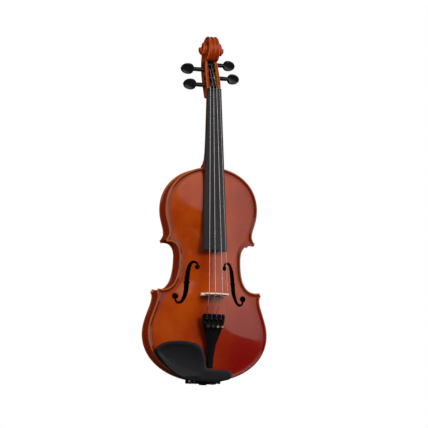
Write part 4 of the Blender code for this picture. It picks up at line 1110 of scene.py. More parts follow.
def volute_section(k):
    """(radius, x) points from the rim down the hollowed face to the next turn's rim."""
    radius, rim_x = rim_at(k)
    inner_radius, inner_x = rim_at(min(k + TURN_STEPS, LAST))
    span = radius - inner_radius
    open_ = min(1.0, max(0.0, span / 3.2))  # closes the hollow where the turns meet
    face_x = rim_x + CHAMFER * open_
    dip = 0.75 * open_
    points = [
        (radius, rim_x),
        (radius - 0.45 * CHAMFER * open_, rim_x + 0.75 * CHAMFER * open_),
        (radius - 1.05 * CHAMFER * open_, face_x),
    ]
    for t, share in ((0.30, 0.45), (0.45, 0.8), (0.6, 1.0), (0.75, 0.95), (0.88, 0.6)):
        points.append((radius - span * t, face_x - dip * share))
    foot_x = face_x - dip * 0.1
    points.append((inner_radius + 0.35 * open_, min(foot_x, inner_x)))
    for t in (0.4, 0.75):
        rise = foot_x + (inner_x - foot_x) * t
        points.append((inner_radius + 0.1 * open_ * (1 - t), rise))
    points.append((inner_radius, inner_x))
    return points


def make_scroll():
    scroll = Build()
    band = scroll_band()
    sections = [volute_section(k) for k in range(LAST + 1)]
    radius, x_end = rim_at(LAST)
    eye_x = x_end + CHAMFER
    eye_profile = [
        (radius, x_end), (radius - 0.35, x_end + 0.65), (radius - 0.9, eye_x),
        (radius * 0.62, eye_x + 0.12), (radius * 0.3, eye_x + 0.22),
    ]
    no_caps = (False, False)
    for sign in (1, -1):
        rows = [
            [spiral_place(k, r, sign * x) for r, x in points]
            for k, points in enumerate(sections)
        ]
        # the chamfer strips along the rim are worn and carry a painted highlight
        scroll.grid(rows, wrap=False, caps=no_caps, worn_lit=(0, 1))
        eye = [
            [spiral_place(k, r, sign * x) for k in range(LAST - TURN_STEPS, LAST + 1)]
            for r, x in eye_profile
        ]
        scroll.grid(eye, wrap=False, caps=no_caps)
        ring = eye[-1]
        centre = spiral_place(0, 0.0, sign * (eye_x + 0.25))
        scroll.add(ring + [centre], [(i, i + 1, len(ring)) for i in range(len(ring) - 1)])
    scroll.grid(band, wrap=False, caps=no_caps)
    # one face closes the spiral's open start
    treble = [spiral_place(0, r, x) for r, x in sections[0]]
    bass = [spiral_place(0, r, -x) for r, x in sections[0]]
    loop = treble + band[TURN_STEPS][::-1][1:-1] + bass[::-1] + band[0][1:-1]
    scroll.add(loop, [tuple(range(len(loop)))])
    return scroll.piece("scroll_tmp", NECK_WOODS, 32, 2e-6)


def make_neck():
    neck = make_shaft()
    absorb(neck, [make_pegbox(), make_scroll()])
    # painted shade: inner faces turned to the front lie in shadow and get the near-black inside
    # material; the walls stay golden
    neck.data.materials.append(SHADED_INSIDE)
    for face in neck.data.polygons:
        if face.material_index == 1 and face.normal.y < -0.35:
            face.material_index = len(neck.data.materials) - 1
    finish(neck)


def make_fingerboard():
    """Cambered, with rounded lower edges, a softened lower end and a hollow underneath."""
    softening = {216.0: 0.9, 216.15: 0.45, 216.6: 0.12}
    stations = [*softening, 217.4, *np.linspace(220, 344, 24), 346, 348, 350, 352]
    stations += [*np.linspace(356, 485.2, 24), 485.65]
    rows = []
    for y in stations:
        soft = softening.get(y, 0.0)
        half = board_half(y) - soft
        xs = [half * (1 - k / 16) for k in range(33)]
        ring = [(x, float(board_top(x, y)) - soft) for x in xs]
        low = board_edge(y) - 4.6 + soft
        hollow = 3.4 * float(ease(y, 352, 344))
        corner = [(-half, board_edge(y) - 0.6), (-half, low + 1.0), (-half + 0.3, low + 0.3),
                  (-half + 1.0, low), (-half + 3.0, low)]
        under = [
            ((-half + 3.2) * math.cos(t), low + hollow * math.sin(t) ** 0.7)
            for t in np.linspace(0, PI, 13)[1:-1]
        ]
        rows.append(section(ring + corner + under + mirrored(corner), y))
    finish(Build().grid(rows).piece("fingerboard_fine", [EBONY], 36))


def make_nut():
    """Follows the board's camber, with a groove for each string."""
    half = 11.9
    stations = [  # y, lift above the board, inset of the ends
        (486.0, 0.55, 0.15), (486.25, 0.82, 0.05), (487.0, 0.92, 0.0), (488.6, 0.82, 0.0),
        (489.8, 0.45, 0.0), (490.25, 0.0, 0.15), (490.4, -0.5, 0.3),
    ]
    rows = []
    for y, lift, inset in stations:
        ring = []
        for x in np.linspace(half, -half, 121):
            groove = sum(
                0.55 * math.exp(-(((x - s.nut_x) / 0.42) ** 2)) for s in STRINGS.values()
            )
            end = 0.8 * float(ease(abs(x), 11.0, half))
            z = float(board_top(x, NUT_Y)) + lift - groove - end
            ring.append((x * (1 - inset / 12), z))
        ring += [(-half + inset, -5.25), (half - inset, -5.25)]
        rows.append(section(ring, y))
    finish(Build().grid(rows).piece("nut_fine", [EBONY], 36))


def make_saddle():
    foot = 0.35
    profile = [  # y, z
        (2.05, foot), (2.05, 5.0), (2.3, 6.4), (2.9, 7.5), (3.7, 7.95), (4.5, 7.85),
        (5.4, 7.2), (6.4, 5.9), (7.0, 4.4), (7.05, foot),
    ]
    rows = []
    for x in [-17.5, -17.3, -16.9, *np.linspace(-16.3, 16.3, 33), 16.9, 17.3, 17.5]:
        share = 1 - 0.28 * float(ease(abs(x), 13.0, 17.5)) - 0.05 * (abs(x) > 17.4)
        rows.append([place(x, y, foot + (z - foot) * share) for y, z in profile])
    finish(Build().grid(rows).piece("saddle_fine", [EBONY_PEG], 36))


def make_end_button():
    profile = [  # radius, height above the floor end
        (0, 22.0), (3.3, 22.0), (3.5, 21.6), (3.9, 8.1), (6.0, 8.1), (6.2, 7.9), (6.1, 7.2),
        (5.3, 6.7), (4.75, 6.3), (4.7, 5.0), (4.75, 3.9), (5.4, 3.5), (6.5, 3.25), (7.0, 2.7),
        (7.2, 2.0), (7.0, 1.3), (6.5, 0.7), (5.6, 0.35), (4.6, 0.15), (3.0, 0.05), (1.1, 0.0),
        (0.8, 0.25), (0, 0.3),
    ]
    button = Build().lathe(profile, place(0, FLOOR_Y, MID_Z), (0, 0, 1), 56)
    finish(button.piece("end_button_fine", [EBONY_PEG], 30))


# ---------------------------------------------------------------- pegs
# half of a peg head's section: share of its radius, half thickness
HEAD_HALF = [
    (0.0, 2.0), (0.2, 2.05), (0.4, 2.25), (0.58, 2.6), (0.70, 3.0), (0.78, 3.35), (0.84, 3.5),
    (0.89, 3.35), (0.945, 2.5), (0.985, 1.4), (1.0, 0.4),
]
HEAD_SECTION = HEAD_HALF + [(share, -thick) for share, thick in HEAD_HALF[::-1]]


def peg_head(build, peg, length, height):
    """Flat heart-shaped head: dished faces, bevelled rim, a small pip at its outer end."""
    tilt = math.radians(peg.tilt)
    cos_tilt, sin_tilt = math.cos(tilt), math.sin(tilt)
    rows = []
    for share, thick in HEAD_SECTION:
        row = []
        for i in range(56):
            angle = 2 * PI * i / 56
            c, s = math.cos(angle), math.sin(angle)
            out = length * bulge(c, 0.90) * share
            rise = height * bulge(s, 0.88) * share * (1 - 0.13 * c)
            row.append(place(
                peg.side * (peg.reach + out),
                peg.y + rise * cos_tilt - thick * sin_tilt,
                peg.z + thick * cos_tilt + rise * sin_tilt,
            ))
        rows.append(row)
    build.grid(rows, caps=(False, False))
    pip = [(0, 1.3), (0.8, 1.15), (1.25, 0.6), (1.3, 0.1), (1.0, -0.5), (0, -0.8)]
    origin = place(peg.side * (peg.reach + length - 0.6), peg.y, peg.z)
    build.lathe(pip, origin, (peg.side, 0, 0), 20)


def coil_start(string):
    """Where a string meets its peg, across the pegbox."""
    return string.nut_x * 0.62


def peg_coil(build, peg, string):
    """The string's coils on the shaft, inside the pegbox."""
    turns = 5
    start = coil_start(string)
    length = turns * 2.1 * string.radius
    # outer strings wind towards the middle, the others towards the peg's head
    run = math.copysign(length, -start) if abs(start) > 2.6 else peg.side * length
    radius = 3.62 + string.radius
    points = []
    for k in range(turns * 20 + 1):
        t = k / (turns * 20)
        angle = 2 * PI * turns * t
        points.append(place(start + run * t, peg.y - radius * math.sin(angle),
                            peg.z + radius * math.cos(angle)))
    build.tube(points, string.radius * 1.02, 8, 1)


def make_peg(name, peg):
    build = Build()
    # radius, distance towards the head; the collar moves with the head
    collar = [(0, 26.0), (2.9, 26.0), (3.3, 25.3), (3.45, 24.0), (3.5, 21.0), (3.6, 17.0)]
    shaft = [(3.75, 12.5), (3.6, 7.6), (3.35, -2.0), (3.1, -12.7), (2.95, -13.25),
             (2.5, -13.55), (1.4, -13.68), (0, -13.7)]
    profile = [(radius, z + peg.reach - 33.0) for radius, z in collar] + shaft
    end = [(0, -13.5), (2.2, -13.5), (2.25, -13.66), (1.3, -13.76), (0, -13.78)]
    origin, axis = place(0, peg.y, peg.z), (peg.side, 0, 0)
    build.lathe(profile, origin, axis, 40)
    build.lathe(end, origin, axis, 32, 2)
    length, height = (11.3, 9.2) if peg.side < 0 else (10.3, 8.7)
    peg_head(build, peg, length, height)
    peg_coil(build, peg, STRINGS[name])
    materials = [EBONY_PEG, COIL[name], PEG_END]
    finish(build.piece(f"peg_{name}_fine", materials, 30), moves=True)


# ---------------------------------------------------------------- bridge
BRIDGE_X, BRIDGE_Y = 3.2, 145.0
BRIDGE_THICK, BRIDGE_BEVEL = 5.4, 0.30
# outlines as (x from the bridge's middle, z)
BRIDGE_ARCH = [(-7.9, 15.6), (-6.4, 17.9), (-3.6, 19.9), (0.0, 20.6), (3.6, 19.9), (6.4, 17.9),
               (7.9, 15.6)]
BRIDGE_SIDE = [
    (18.2, 16.6), (16.4, 18.8), (15.4, 21.2), (16.2, 23.0), (18.4, 23.4), (20.8, 23.6),
    (21.7, 25.2), (21.0, 27.2), (19.2, 28.2), (18.7, 29.8), (18.9, 32.4),
]
BRIDGE_CROWN = [
    (19.7, 35.6), (20.3, 37.6), (19.3, 39.5), (16.4, 41.9), (11.5, 45.0), (5.9, 47.4),
    (-0.4, 48.3), (-6.7, 47.8), (-11.8, 46.5), (-16.1, 44.6), (-19.3, 41.9), (-20.3, 39.6),
    (-19.7, 37.0),
]
HEART = [
    (0.0, 28.0), (1.9, 30.6), (3.7, 33.4), (3.9, 35.8), (2.6, 37.3), (1.0, 36.9), (0.0, 35.4),
    (-1.0, 36.9), (-2.6, 37.3), (-3.9, 35.8), (-3.7, 33.4), (-1.9, 30.6),
]
KIDNEY = [(8.0, 24.0), (10.6, 22.9), (13.0, 24.4), (13.5, 27.4), (12.2, 30.6), (10.3, 32.0),
          (8.4, 30.4), (9.2, 27.4)]


def bridge_leg(sign):
    """One leg from its inner toe, along the top plate, and up its side."""
    def foot(x):
        point = np.array([[sign * x + BRIDGE_X, BRIDGE_Y]])
        return float(arching(point, TOP_APEX)[0]) + 0.12

    sole = [(x, foot(x)) for x in (9.6, 12.0, 15.0, 18.0, 20.4)]
    toe = [(21.0, foot(20.8) + 0.9), (20.6, foot(20.8) + 1.9)]
    leg = [(9.0, foot(9.0) + 0.4)] + sole + toe + BRIDGE_SIDE
    return [(sign * x, z) for x, z in leg]


def make_bridge():
    """A filled curve, thickened and bevelled, then thinned towards the crown."""
    name = "bridge_fine"
    profile = BRIDGE_ARCH + bridge_leg(1) + BRIDGE_CROWN + bridge_leg(-1)[::-1]
    outline, heart, kidney = (catmull(p, 4, True) for p in (profile, HEART, KIDNEY))
    curve = bpy.data.curves.new(name, "CURVE")
    curve.dimensions = "2D"
    curve.fill_mode = "BOTH"
    curve.extrude = (BRIDGE_THICK / 2 - BRIDGE_BEVEL) / 1000.0
    curve.bevel_depth = BRIDGE_BEVEL / 1000.0
    curve.bevel_resolution = 2
    curve.offset = -BRIDGE_BEVEL / 1000.0
    for points in (outline, heart, kidney, kidney * (-1, 1)):
        spline = curve.splines.new("POLY")
        spline.points.add(len(points) - 1)
        for point, (x, z) in zip(spline.points, points):
            point.co = (x / 1000.0, z / 1000.0, 0.0, 1.0)
        spline.use_cyclic_u = True
    flat = new_object(name, curve)
    bpy.context.view_layer.update()
    graph = bpy.context.evaluated_depsgraph_get()
    mesh = bpy.data.meshes.new_from_object(flat.evaluated_get(graph))
    bpy.data.objects.remove(flat)
    # curve x is plan x, curve y is plan z, curve z runs up the length
    x, z, depth = (coordinates(mesh) * 1000.0).T
    lean = np.clip((z - 14.0) / 34.0, 0, 1)
    upper, lower = 0.78 * (1 - 0.50 * lean), 1.12 * (1 - 0.62 * lean)
    y = BRIDGE_Y + np.where(depth > 0, depth * upper, depth * lower)
    mesh.vertices.foreach_set("co", places(x + BRIDGE_X, y, z).reshape(-1))
    mesh.materials.append(BRIDGE)
    clean(mesh, 2e-6, dissolve=False)
    bridge = new_object(name, mesh)
    shade(bridge, 40)
    finish(bridge)


# ---------------------------------------------------------------- tailpiece
TAIL_Y, TAIL_LENGTH = 23.0, 89.0
TAIL_Z, TAIL_RISE = 21.5, 12.5
PIVOT_Y, SCREW_Y = 103.0, 91.0
# half width at shares of the length, from the tailgut's end
TAIL_HALF = monotone(
    (0.0, 0.14, 0.30, 0.42, 0.56, 0.72, 0.88, 1.0),
    (5.6, 5.6, 6.6, 7.6, 11.0, 15.6, 19.2, 19.6),
)


def tail_surface(y):
    return TAIL_Z + TAIL_RISE * (y - TAIL_Y) / TAIL_LENGTH


def tail_section(share):
    y, z = TAIL_Y + TAIL_LENGTH * share, TAIL_Z + TAIL_RISE * share
    soft = max(0.0, 1 - share / 0.02) ** 2 + max(0.0, (share - 0.98) / 0.02) ** 2 * 1.1
    half = float(TAIL_HALF(share)) - soft
    crown = 1.0 + 2.6 * max(0.0, 1 - share * 1.6)
    fret = 0.9 * math.exp(-(((y - 110.2) / 0.75) ** 2))
    ring = []
    for k in range(25):
        angle = PI * k / 24
        x = half * bulge(math.cos(angle), 0.85)
        dome = z - crown + crown * math.sin(angle) ** 0.8 - soft * 0.6
        ring.append((x, dome + fret * float(ease(abs(x), half - 1.0, half - 3.0))))
    low = z - 4.4 + soft * 0.7
    corner = [(-half, z - crown - 0.9), (-half + 0.1, low + 1.0), (-half + 0.6, low + 0.2),
              (-half + 1.4, low), (-half + 2.6, low)]
    hollow = 1.9 * float(ease(half, 6.2, 10.0))
    under = [(-half * 0.6, low + hollow), (0, low + hollow * 1.1), (half * 0.6, low + hollow)]
    return section(ring + corner + under + mirrored(corner), y)


def make_tailpiece():
    shares = [0.0, 0.003, 0.01, 0.02, *np.linspace(0.035, 0.965, 46), 0.98, 0.99, 0.997, 1.0]
    rows = [tail_section(share) for share in shares]
    tail = Build().grid(rows).piece("tailpiece_fine", [POLISHED], 32)
    cutters = []
    for string in STRINGS.values():
        # the slot ends in a round hole, and the tuner's screw has its own
        x = string.tail_x
        slot = [(x - 1.9, 98.6), (x + 1.9, 98.6), (x + 1.9, 107.2), (x + 1.2, 107.9),
                (x - 1.2, 107.9), (x - 1.9, 107.2)]
        cutters.append(prism(slot, 20, 40))
        cutters.append(prism(circle(x, 98.6, 1.9, 28), 20.1, 40.1))
        cutters.append(prism(circle(x, SCREW_Y, 1.6, 24), 20.2, 40.2))
    carve(tail, cutters, sharp=32)
    # lugs under each slot carry the tuner's lever between them
    lugs = Build()
    surface = tail_surface(PIVOT_Y)
    deep, top = surface - 8.9, surface - 4.0
    for string in STRINGS.values():
        x = string.tail_x
        for side in (-2.05, 2.05):
            limits = (x + side - 0.45, x + side + 0.45)
            lugs.block(limits, (96.4, 108.6), (deep, top), 0.2)
        lugs.block((x - 1.75, x + 1.75), (106.0, 108.6), (deep, top), 0.2)
        lugs.block((x - 1.75, x + 1.75), (96.4, 99.4), (surface - 6.6, top), 0.2)
    absorb(tail, [lugs.piece("lugs_tmp", [POLISHED], 40)])
    finish(tail)


# ---------------------------------------------------------------- fine tuners
SCREW_Z = tail_surface(SCREW_Y)
PIVOT_Z = tail_surface(PIVOT_Y) - 7.5
OUTWARD = (0, -1, 0)  # world direction of plan +z
# lever's side outline: base y, then (y, z) offsets from it and the pivot's height
LEVER = [
    (PIVOT_Y, [(1.4, 9.6), (2.1, 9.2), (2.3, 8.4), (1.7, 2.0), (2.1, -1.2), (1.4, -2.2),
               (0, -2.55)]),
    (SCREW_Y, [(-1.8, -2.4), (-2.35, -2.0), (-2.35, -1.4), (-1.9, -1.05)]),
    (PIVOT_Y, [(-2.0, -0.25), (-1.0, 0.6), (-0.6, 2.0), (-0.4, 9.2), (-0.1, 9.6)]),
]


def upright(x, y):
    """Origin for a turned solid along plan z, so that its distances are heights."""
    # place() puts z = 0 one half rib depth in front of the world's X axis
    return place(x, y, 0)


def tuner_screw(name, x, material):
    tip = PIVOT_Z - 0.45
    profile = [(0, SCREW_Z + 8.6), (1.0, SCREW_Z + 8.6)]
    z = SCREW_Z + 8.3
    while z > tip + 0.8:
        profile += [(1.15, z), (0.98, z - 0.25)]
        z -= 0.5
    profile += [(0.9, tip + 0.5), (0.55, tip + 0.1), (0.3, tip), (0, tip)]
    screw = Build().lathe(profile, upright(x, SCREW_Y), OUTWARD, 24)
    finish(screw.piece(f"tuner_screw_{name}_fine", [material], 30), moves=True)


def tuner_knob(name, x, material):
    def knurl(angle, k):
        return (0.035 if 2 <= k <= 6 else 0.0) * (1 if math.cos(18 * angle) > 0 else -1)

    base = SCREW_Z + 8.9
    # radius, height above the knob's base
    body = [(0, 4.3), (1.4, 4.35), (2.4, 4.55), (2.95, 4.35), (3.15, 3.9), (3.18, 2.4),
            (3.15, 1.0), (2.8, 0.5), (2.0, 0.25), (1.7, 0), (0, 0)]
    # the screw's end shows as a small disc let into the knob
    disc = [(0, 4.5), (1.5, 4.62), (1.9, 4.62), (1.95, 4.45), (1.95, 4.1), (0, 4.1)]
    body, disc = ([(radius, base + z) for radius, z in part] for part in (body, disc))
    knob = Build().lathe(body, upright(x, SCREW_Y), OUTWARD, 72, 0, knurl)
    knob.lathe(disc, upright(x, SCREW_Y), OUTWARD, 32, 1)
    obj = knob.piece(f"tuner_knob_{name}_fine", [POLISHED, material], 30)
    finish(obj, moves=True)


def tuner_lever(name, x):
    """A bent strip: a prong up through the slot and an arm under the screw."""
    points = [(base + y, PIVOT_Z + z) for base, offsets in LEVER for y, z in offsets]
    side = catmull(points, 3, True)
    tangents = np.roll(side, -1, 0) - np.roll(side, 1, 0)
    tangents /= np.linalg.norm(tangents, axis=1)[:, None]
    inward = np.stack([tangents[:, 1], -tangents[:, 0]], 1)
    rows = []
    for across, inset in ((-1.4, 0.35), (-1.3, 0.1), (-1.05, 0.0), (1.05, 0.0), (1.3, 0.1),
                          (1.4, 0.35)):
        rows.append([place(x + across, y, z) for y, z in side + inward * inset])
    lever = Build().grid(rows).piece(f"tuner_lever_{name}_fine", [BLACK_STEEL], 34)
    finish(lever, moves=True)


def make_tuner(name, x):
    material = BRASS if name in "ae" else BLACK_STEEL
    tuner_screw(name, x, material)
    tuner_knob(name, x, material)
    tuner_lever(name, x)


# ---------------------------------------------------------------- strings and tailgut
def make_string(name, string):
    peg = PEGS[name]
    nut_x, bridge_x, bridge_z, tail_x, radius = string
    nut_z = float(board_top(nut_x, NUT_Y)) + 1.2 + radius
    stops = [
        (coil_start(string), peg.y - 1.0, peg.z + 4.0 + radius),
        (nut_x, 491.6, nut_z - 0.75), (nut_x, 490.2, nut_z - 0.32),
        (nut_x, 488.0, nut_z - 0.03), (nut_x, NUT_Y, nut_z),
        (bridge_x, 147.2, bridge_z + radius + 0.28), (bridge_x, 145.8, bridge_z + radius + 0.31),
        (bridge_x, BRIDGE_Y, bridge_z + radius + 0.3),
        (bridge_x, 144.2, bridge_z + radius + 0.08),
        (tail_x, 113.4, 35.25 + radius), (tail_x, 112.4, 34.98 + radius),
        (tail_x, 111.0, tail_surface(111.0) + radius + 0.98),
        (tail_x, 107.2, tail_surface(107.0) + radius + 0.9),
    ]
    points = []
    for start, end in zip(stops, stops[1:]):
        count = max(1, int(math.dist(start, end) / 3.0))
        first, run = np.array(start), np.array(end) - np.array(start)
        points += [tuple(first + run * k / count) for k in range(count)]
    points.append(stops[-1])
    # split where the peg end begins and where the lower silk sleeve begins
    silk_low, peg_end = 126.0, 492.5
    low = [i for i, p in enumerate(points) if p[1] < silk_low][0]
    high = [i for i, p in enumerate(points) if p[1] > peg_end][-1]
    path = [place(*p) for p in points]
    sleeve, slot = (0.0, 0) if name == "e" else (0.22, 1)
    build = Build()
    build.tube(path[high : low + 1], radius)
    build.tube(path[low:], radius + sleeve, slot=slot)
    build.tube(path[: high + 1], radius)
    obj = build.piece(f"string_{name}_fine", [STRING[name], SILK[name]], 40)
    finish(obj)


def make_tailgut():
    """From the tailpiece over the saddle and round the end button."""
    loop_y, loop_radius = 0.45, 6.1
    side = [
        (3.4, 26.0, 19.6), (3.4, 22.2, 18.9), (3.5, 12.0, 13.5), (3.6, 6.6, 9.55),
        (3.65, 4.6, 8.95), (3.7, 2.9, 8.9), (3.9, 1.5, 8.2), (4.3, 0.65, 6.6),
        (4.8, loop_y, 3.5), (5.5, loop_y, -4.0), (6.0, loop_y, -11.0),
    ]
    path = catmull(side, 5)
    turn = [
        (loop_radius * math.sin(a), loop_y, MID_Z + loop_radius * math.cos(a))
        for a in np.linspace(1.35, 2 * PI - 1.35, 33)
    ]
    points = [*path, *turn, *(path[::-1] * (-1, 1, 1))]
    gut = Build().tube([place(*p) for p in points], 0.9, 14)
    finish(gut.piece("tailgut_fine", [GUT], 60))


# ---------------------------------------------------------------- chin rest
# x, y of the outline, and of the point inside that each outline point runs in to
CHIN_OUTLINE = catmull([
    (-94.3, 50.5), (-84.5, 59.5), (-71.5, 64.3), (-56.7, 66.2), (-41.9, 66.1), (-30.3, 64.2),
    (-21.9, 61.4), (-15.1, 56.2), (-10.7, 47.7), (-8.2, 38.3), (-7.4, 29.0), (-5.4, 23.4),
    (2.0, 21.8), (10.8, 21.6), (19.0, 21.6), (27.5, 21.6), (34.2, 20.4), (37.3, 16.4),
    (37.8, 12.0), (36.6, 8.4), (33.0, 5.2), (23.1, 2.6), (11.5, 0.6), (-2.0, 0.2),
    (-15.0, 0.6), (-39.0, 2.5), (-54.8, 8.1), (-71.6, 20.0), (-83.5, 32.1), (-91.5, 41.5),
], 7, True)
CHIN_SPINE = catmull([
    (-78, 47.5), (-74, 48), (-66, 46), (-56, 43), (-47, 41), (-40, 39.5), (-34, 38), (-29, 36),
    (-25, 33), (-22, 29.5), (-18, 24), (-9, 13.5), (2, 12), (10, 12.3), (18, 12.8), (25, 13.2),
    (28, 13.3), (29.5, 13.2), (29.5, 12.9), (28, 12.6), (25, 12.6), (19, 12.4), (10, 12.1),
    (-2, 11.8), (-12, 13.5), (-34, 20), (-50, 27), (-64, 36), (-73, 43), (-77, 46.5),
], 7, True)
CHIN_REACH = np.linalg.norm(CHIN_SPINE - CHIN_OUTLINE, axis=1)
PADS = {"bass": (-37.0, -27.0), "treble": (24.0, 34.0)}  # limits across


def chin_low(x, y):
    """Height of the underside, raised over the tailpiece."""
    return 15.5 + 5.1 * float(ease(abs(x), 11.0, 8.4)) * float(ease(y, 29.0, 26.8))


def chin_top(x, y, gap):
    """Height of the upper face: a dished cup on the bass side, a bar over the tailpiece."""
    cup = float(ease(x, -8.0, -30.0))
    far = math.hypot((x + 52.0) / 40.0, (y - 37.0) / 28.0)
    bowl = 18.4 + 5.0 * float(np.clip(far, 0, 1.15)) ** 2.2
    lip = 23.9 - 1.5 * float(ease(y, 40.0, 66.0)) * float(ease(x, -95.0, -40.0))
    rim = float(ease(gap, 9.0, 1.5))
    bar = 23.4 - 0.9 * float(ease(gap, 4.5, 0.0))
    return (bowl * (1 - rim) + lip * rim) * cup + bar * (1 - cup)


def chin_row(share, gaps, lift):
    """A ring some share of the way in, lifted between the lower and the upper face."""
    row = []
    points = CHIN_OUTLINE + (CHIN_SPINE - CHIN_OUTLINE) * share[:, None]
    for (x, y), gap in zip(points, np.broadcast_to(gaps, len(points))):
        low = chin_low(x, y)
        row.append(place(x, y, low + (chin_top(x, y, gap) - low) * lift))
    return row


def make_chin_rest():
    # inset from the outline, lift
    upper = [(0.0, 0.55), (0.0, 0.8), (0.25, 0.93), (0.7, 0.985), (1.3, 1.0), (2.0, 1.0),
             (3.0, 1.0), (4.2, 1.0), (5.5, 1.0), (7.0, 1.0), (8.8, 1.0)]
    under = [(0.0, 0.25), (0.2, 0.1), (0.8, 0.02), (1.6, 0.0), (4.0, 0.0)]
    reach = CHIN_REACH
    rows = [chin_row(np.minimum(inset / reach, 0.75), inset, lift) for inset, lift in upper]
    inset = upper[-1][0]
    first = np.minimum(inset / reach, 0.75)
    for u in np.linspace(0, 1, 9)[1:]:
        share = first + (1 - first) * u
        gaps = np.where(reach > inset, inset + (reach - inset) * u, reach * share)
        rows.append(chin_row(share, gaps, 1.0))
    rows = rows[::-1]
    rows += [chin_row(np.minimum(inset / reach, 0.5), inset, lift) for inset, lift in under]
    first = np.minimum(under[-1][0] / reach, 0.5)
    rows += [chin_row(first + (1 - first) * u, 0.0, 0.0) for u in (0.35, 0.7, 1.0)]
    chin = Build().grid(rows)
    for limits in PADS.values():
        chin.block(limits, (8.6, 16.0), (7.6, 17.5), 0.7)
    finish(chin.piece("chin_rest_fine", [SATIN], 50, 1e-6))
    for side, (left, right) in PADS.items():
        pad = Build().block((left + 0.1, right - 0.1), (8.7, 15.9), (4.7, 7.55), 0.35)
        finish(pad.piece(f"cork_pad_{side}_fine", [CORK], 40))


# ---------------------------------------------------------------- clamp
POSTS = {"bass": -21.0, "treble": 18.0}  # x of each post
POST_Y = -0.6
STRIP_X, STRIP_Y = (-24.0, 21.0), (-2.1, 0.9)


def clamp_post(build, x, low, high, collar):
    """A threaded post and its collar, whose profile is (radius, z)."""
    radius = 1.1
    profile = [(0, low), (radius * 0.7, low), (radius, low + 0.3)]
    z = low + 0.5
    while z < high - 0.6:
        profile += [(radius, z), (radius * 0.86, z + 0.25)]
        z += 0.5
    profile += [(radius, high - 0.2), (0, high - 0.2)]
    build.lathe(profile, upright(x, POST_Y), OUTWARD, 20)
    build.lathe(collar, upright(x, POST_Y), OUTWARD, 28)


def make_bracket():
    """The clamp's upper part: a cross strip with an arm and a post at each side."""
    bracket = Build().block(STRIP_X, STRIP_Y, (13.6, 15.2), 0.5)
    collar = [(0, 12.7), (1.7, 12.7), (1.9, 13.0), (1.9, 13.7), (0, 13.7)]
    for x in POSTS.values():
        bracket.block((x - 3, x + 3), (STRIP_Y[0], 15.0), (13.62, 15.18), 0.5)
        clamp_post(bracket, x, -10.5, 14.4, collar)
    obj = bracket.piece("chin_rest_bracket_fine", [BLACK_STEEL], 34)
    finish(obj)


def make_clamp_foot():
    """The clamp's lower part, under the back, with cork on its arms."""
    foot = Build().block(STRIP_X, STRIP_Y, (-37.9, -36.3), 0.5)
    foot.block(STRIP_X, (8.2, 12.5), (-37.85, -36.35), 0.5)
    collar = [(0, -35.3), (1.7, -35.3), (1.9, -35.6), (1.9, -36.4), (0, -36.4)]
    for x in POSTS.values():
        foot.block((x - 3, x + 3), (STRIP_Y[0], 12.5), (-37.88, -36.32), 0.5)
        clamp_post(foot, x, -36.6, -20.5, collar)
        foot.block((x - 3.0, x + 3.0), (7.4, 12.4), (-36.4, -35.35), 0.3, 1)
    finish(foot.piece("clamp_foot_fine", [BLACK_STEEL, CORK], 34), moves=True)


def make_barrel(side, x):
    """A turnbuckle barrel, open at both ends, with a hole across its middle."""
    half = [  # radius, distance from the middle
        (1.4, 9.85), (1.55, 10.0), (2.0, 10.0), (2.25, 9.85), (2.4, 9.5), (2.4, 7.1),
        (2.2, 6.85), (2.2, 6.3), (2.4, 6.05),
    ]
    profile = half + [(radius, -off) for radius, off in half[::-1]] + half[:1]
    rows = []
    for radius, off in profile:
        angles = [2 * PI * i / 40 for i in range(40)]
        rows.append([
            place(x + radius * math.cos(a), POST_Y + radius * math.sin(a), MID_Z + off)
            for a in angles
        ])
    build = Build().grid(rows, caps=(False, False))
    barrel = build.piece(f"clamp_barrel_{side}_fine", [CHROME], 30)
    carve(barrel, [bore(0.75, -5, 5, place(x, POST_Y, MID_Z), (1, 0, 0), 20)], sharp=30)
    finish(barrel, moves=True)


# ---------------------------------------------------------------- floor, light, camera
AIM = (0.0, -0.02, 0.28)


def make_floor():
    """A pale floor, seen only from above, that fades out away from the violin."""
    mat = Material("studio_floor")
    noise = mat.node("TexNoise", {"Vector": mat.coords, "Scale": 6.0}).outputs["Fac"]
    rough = mat.node("MapRange", {"Value": noise, "To Min": 0.62, "To Max": 0.72})
    mat.put("Roughness", rough.outputs["Result"])
    mat.put("Base Color", (0.80, 0.80, 0.80))
    mat.put("Emission Color", (1.0, 1.0, 1.0))
    mat.put("Emission Strength", 0.30)
    distance = mat.node("VectorMath", {0: mat.coords}, operation="LENGTH").outputs["Value"]
    below = mat.node("NewGeometry").outputs["Backfacing"]
    hidden = mat.math("MAXIMUM", below, mat.ramp(distance, (0.9, 2.4)))
    clear = mat.node("BsdfTransparent").outputs["BSDF"]
    mixer = mat.node("MixShader", {"Fac": hidden, 1: mat.shader.outputs["BSDF"], 2: clear})
    output = mat.tree.nodes["Material Output"]
    mat.feed(output.inputs["Surface"], mixer.outputs["Shader"])

    cells, size, drop = 24, 12.0, -0.0006
    row = cells + 1
    verts = [
        ((i / cells - 0.5) * size, (j / cells - 0.5) * size, drop)
        for j in range(row) for i in range(row)
    ]
    corners = [j * row + i for j in range(cells) for i in range(cells)]
    mesh = bpy.data.meshes.new("studio_floor")
    mesh.from_pydata(verts, [], [(k, k + 1, k + row + 1, k + row) for k in corners])
    mesh.materials.append(mat.material)
    floor = new_object("studio_floor", mesh)
    floor.visible_glossy = False
    floor.visible_diffuse = False


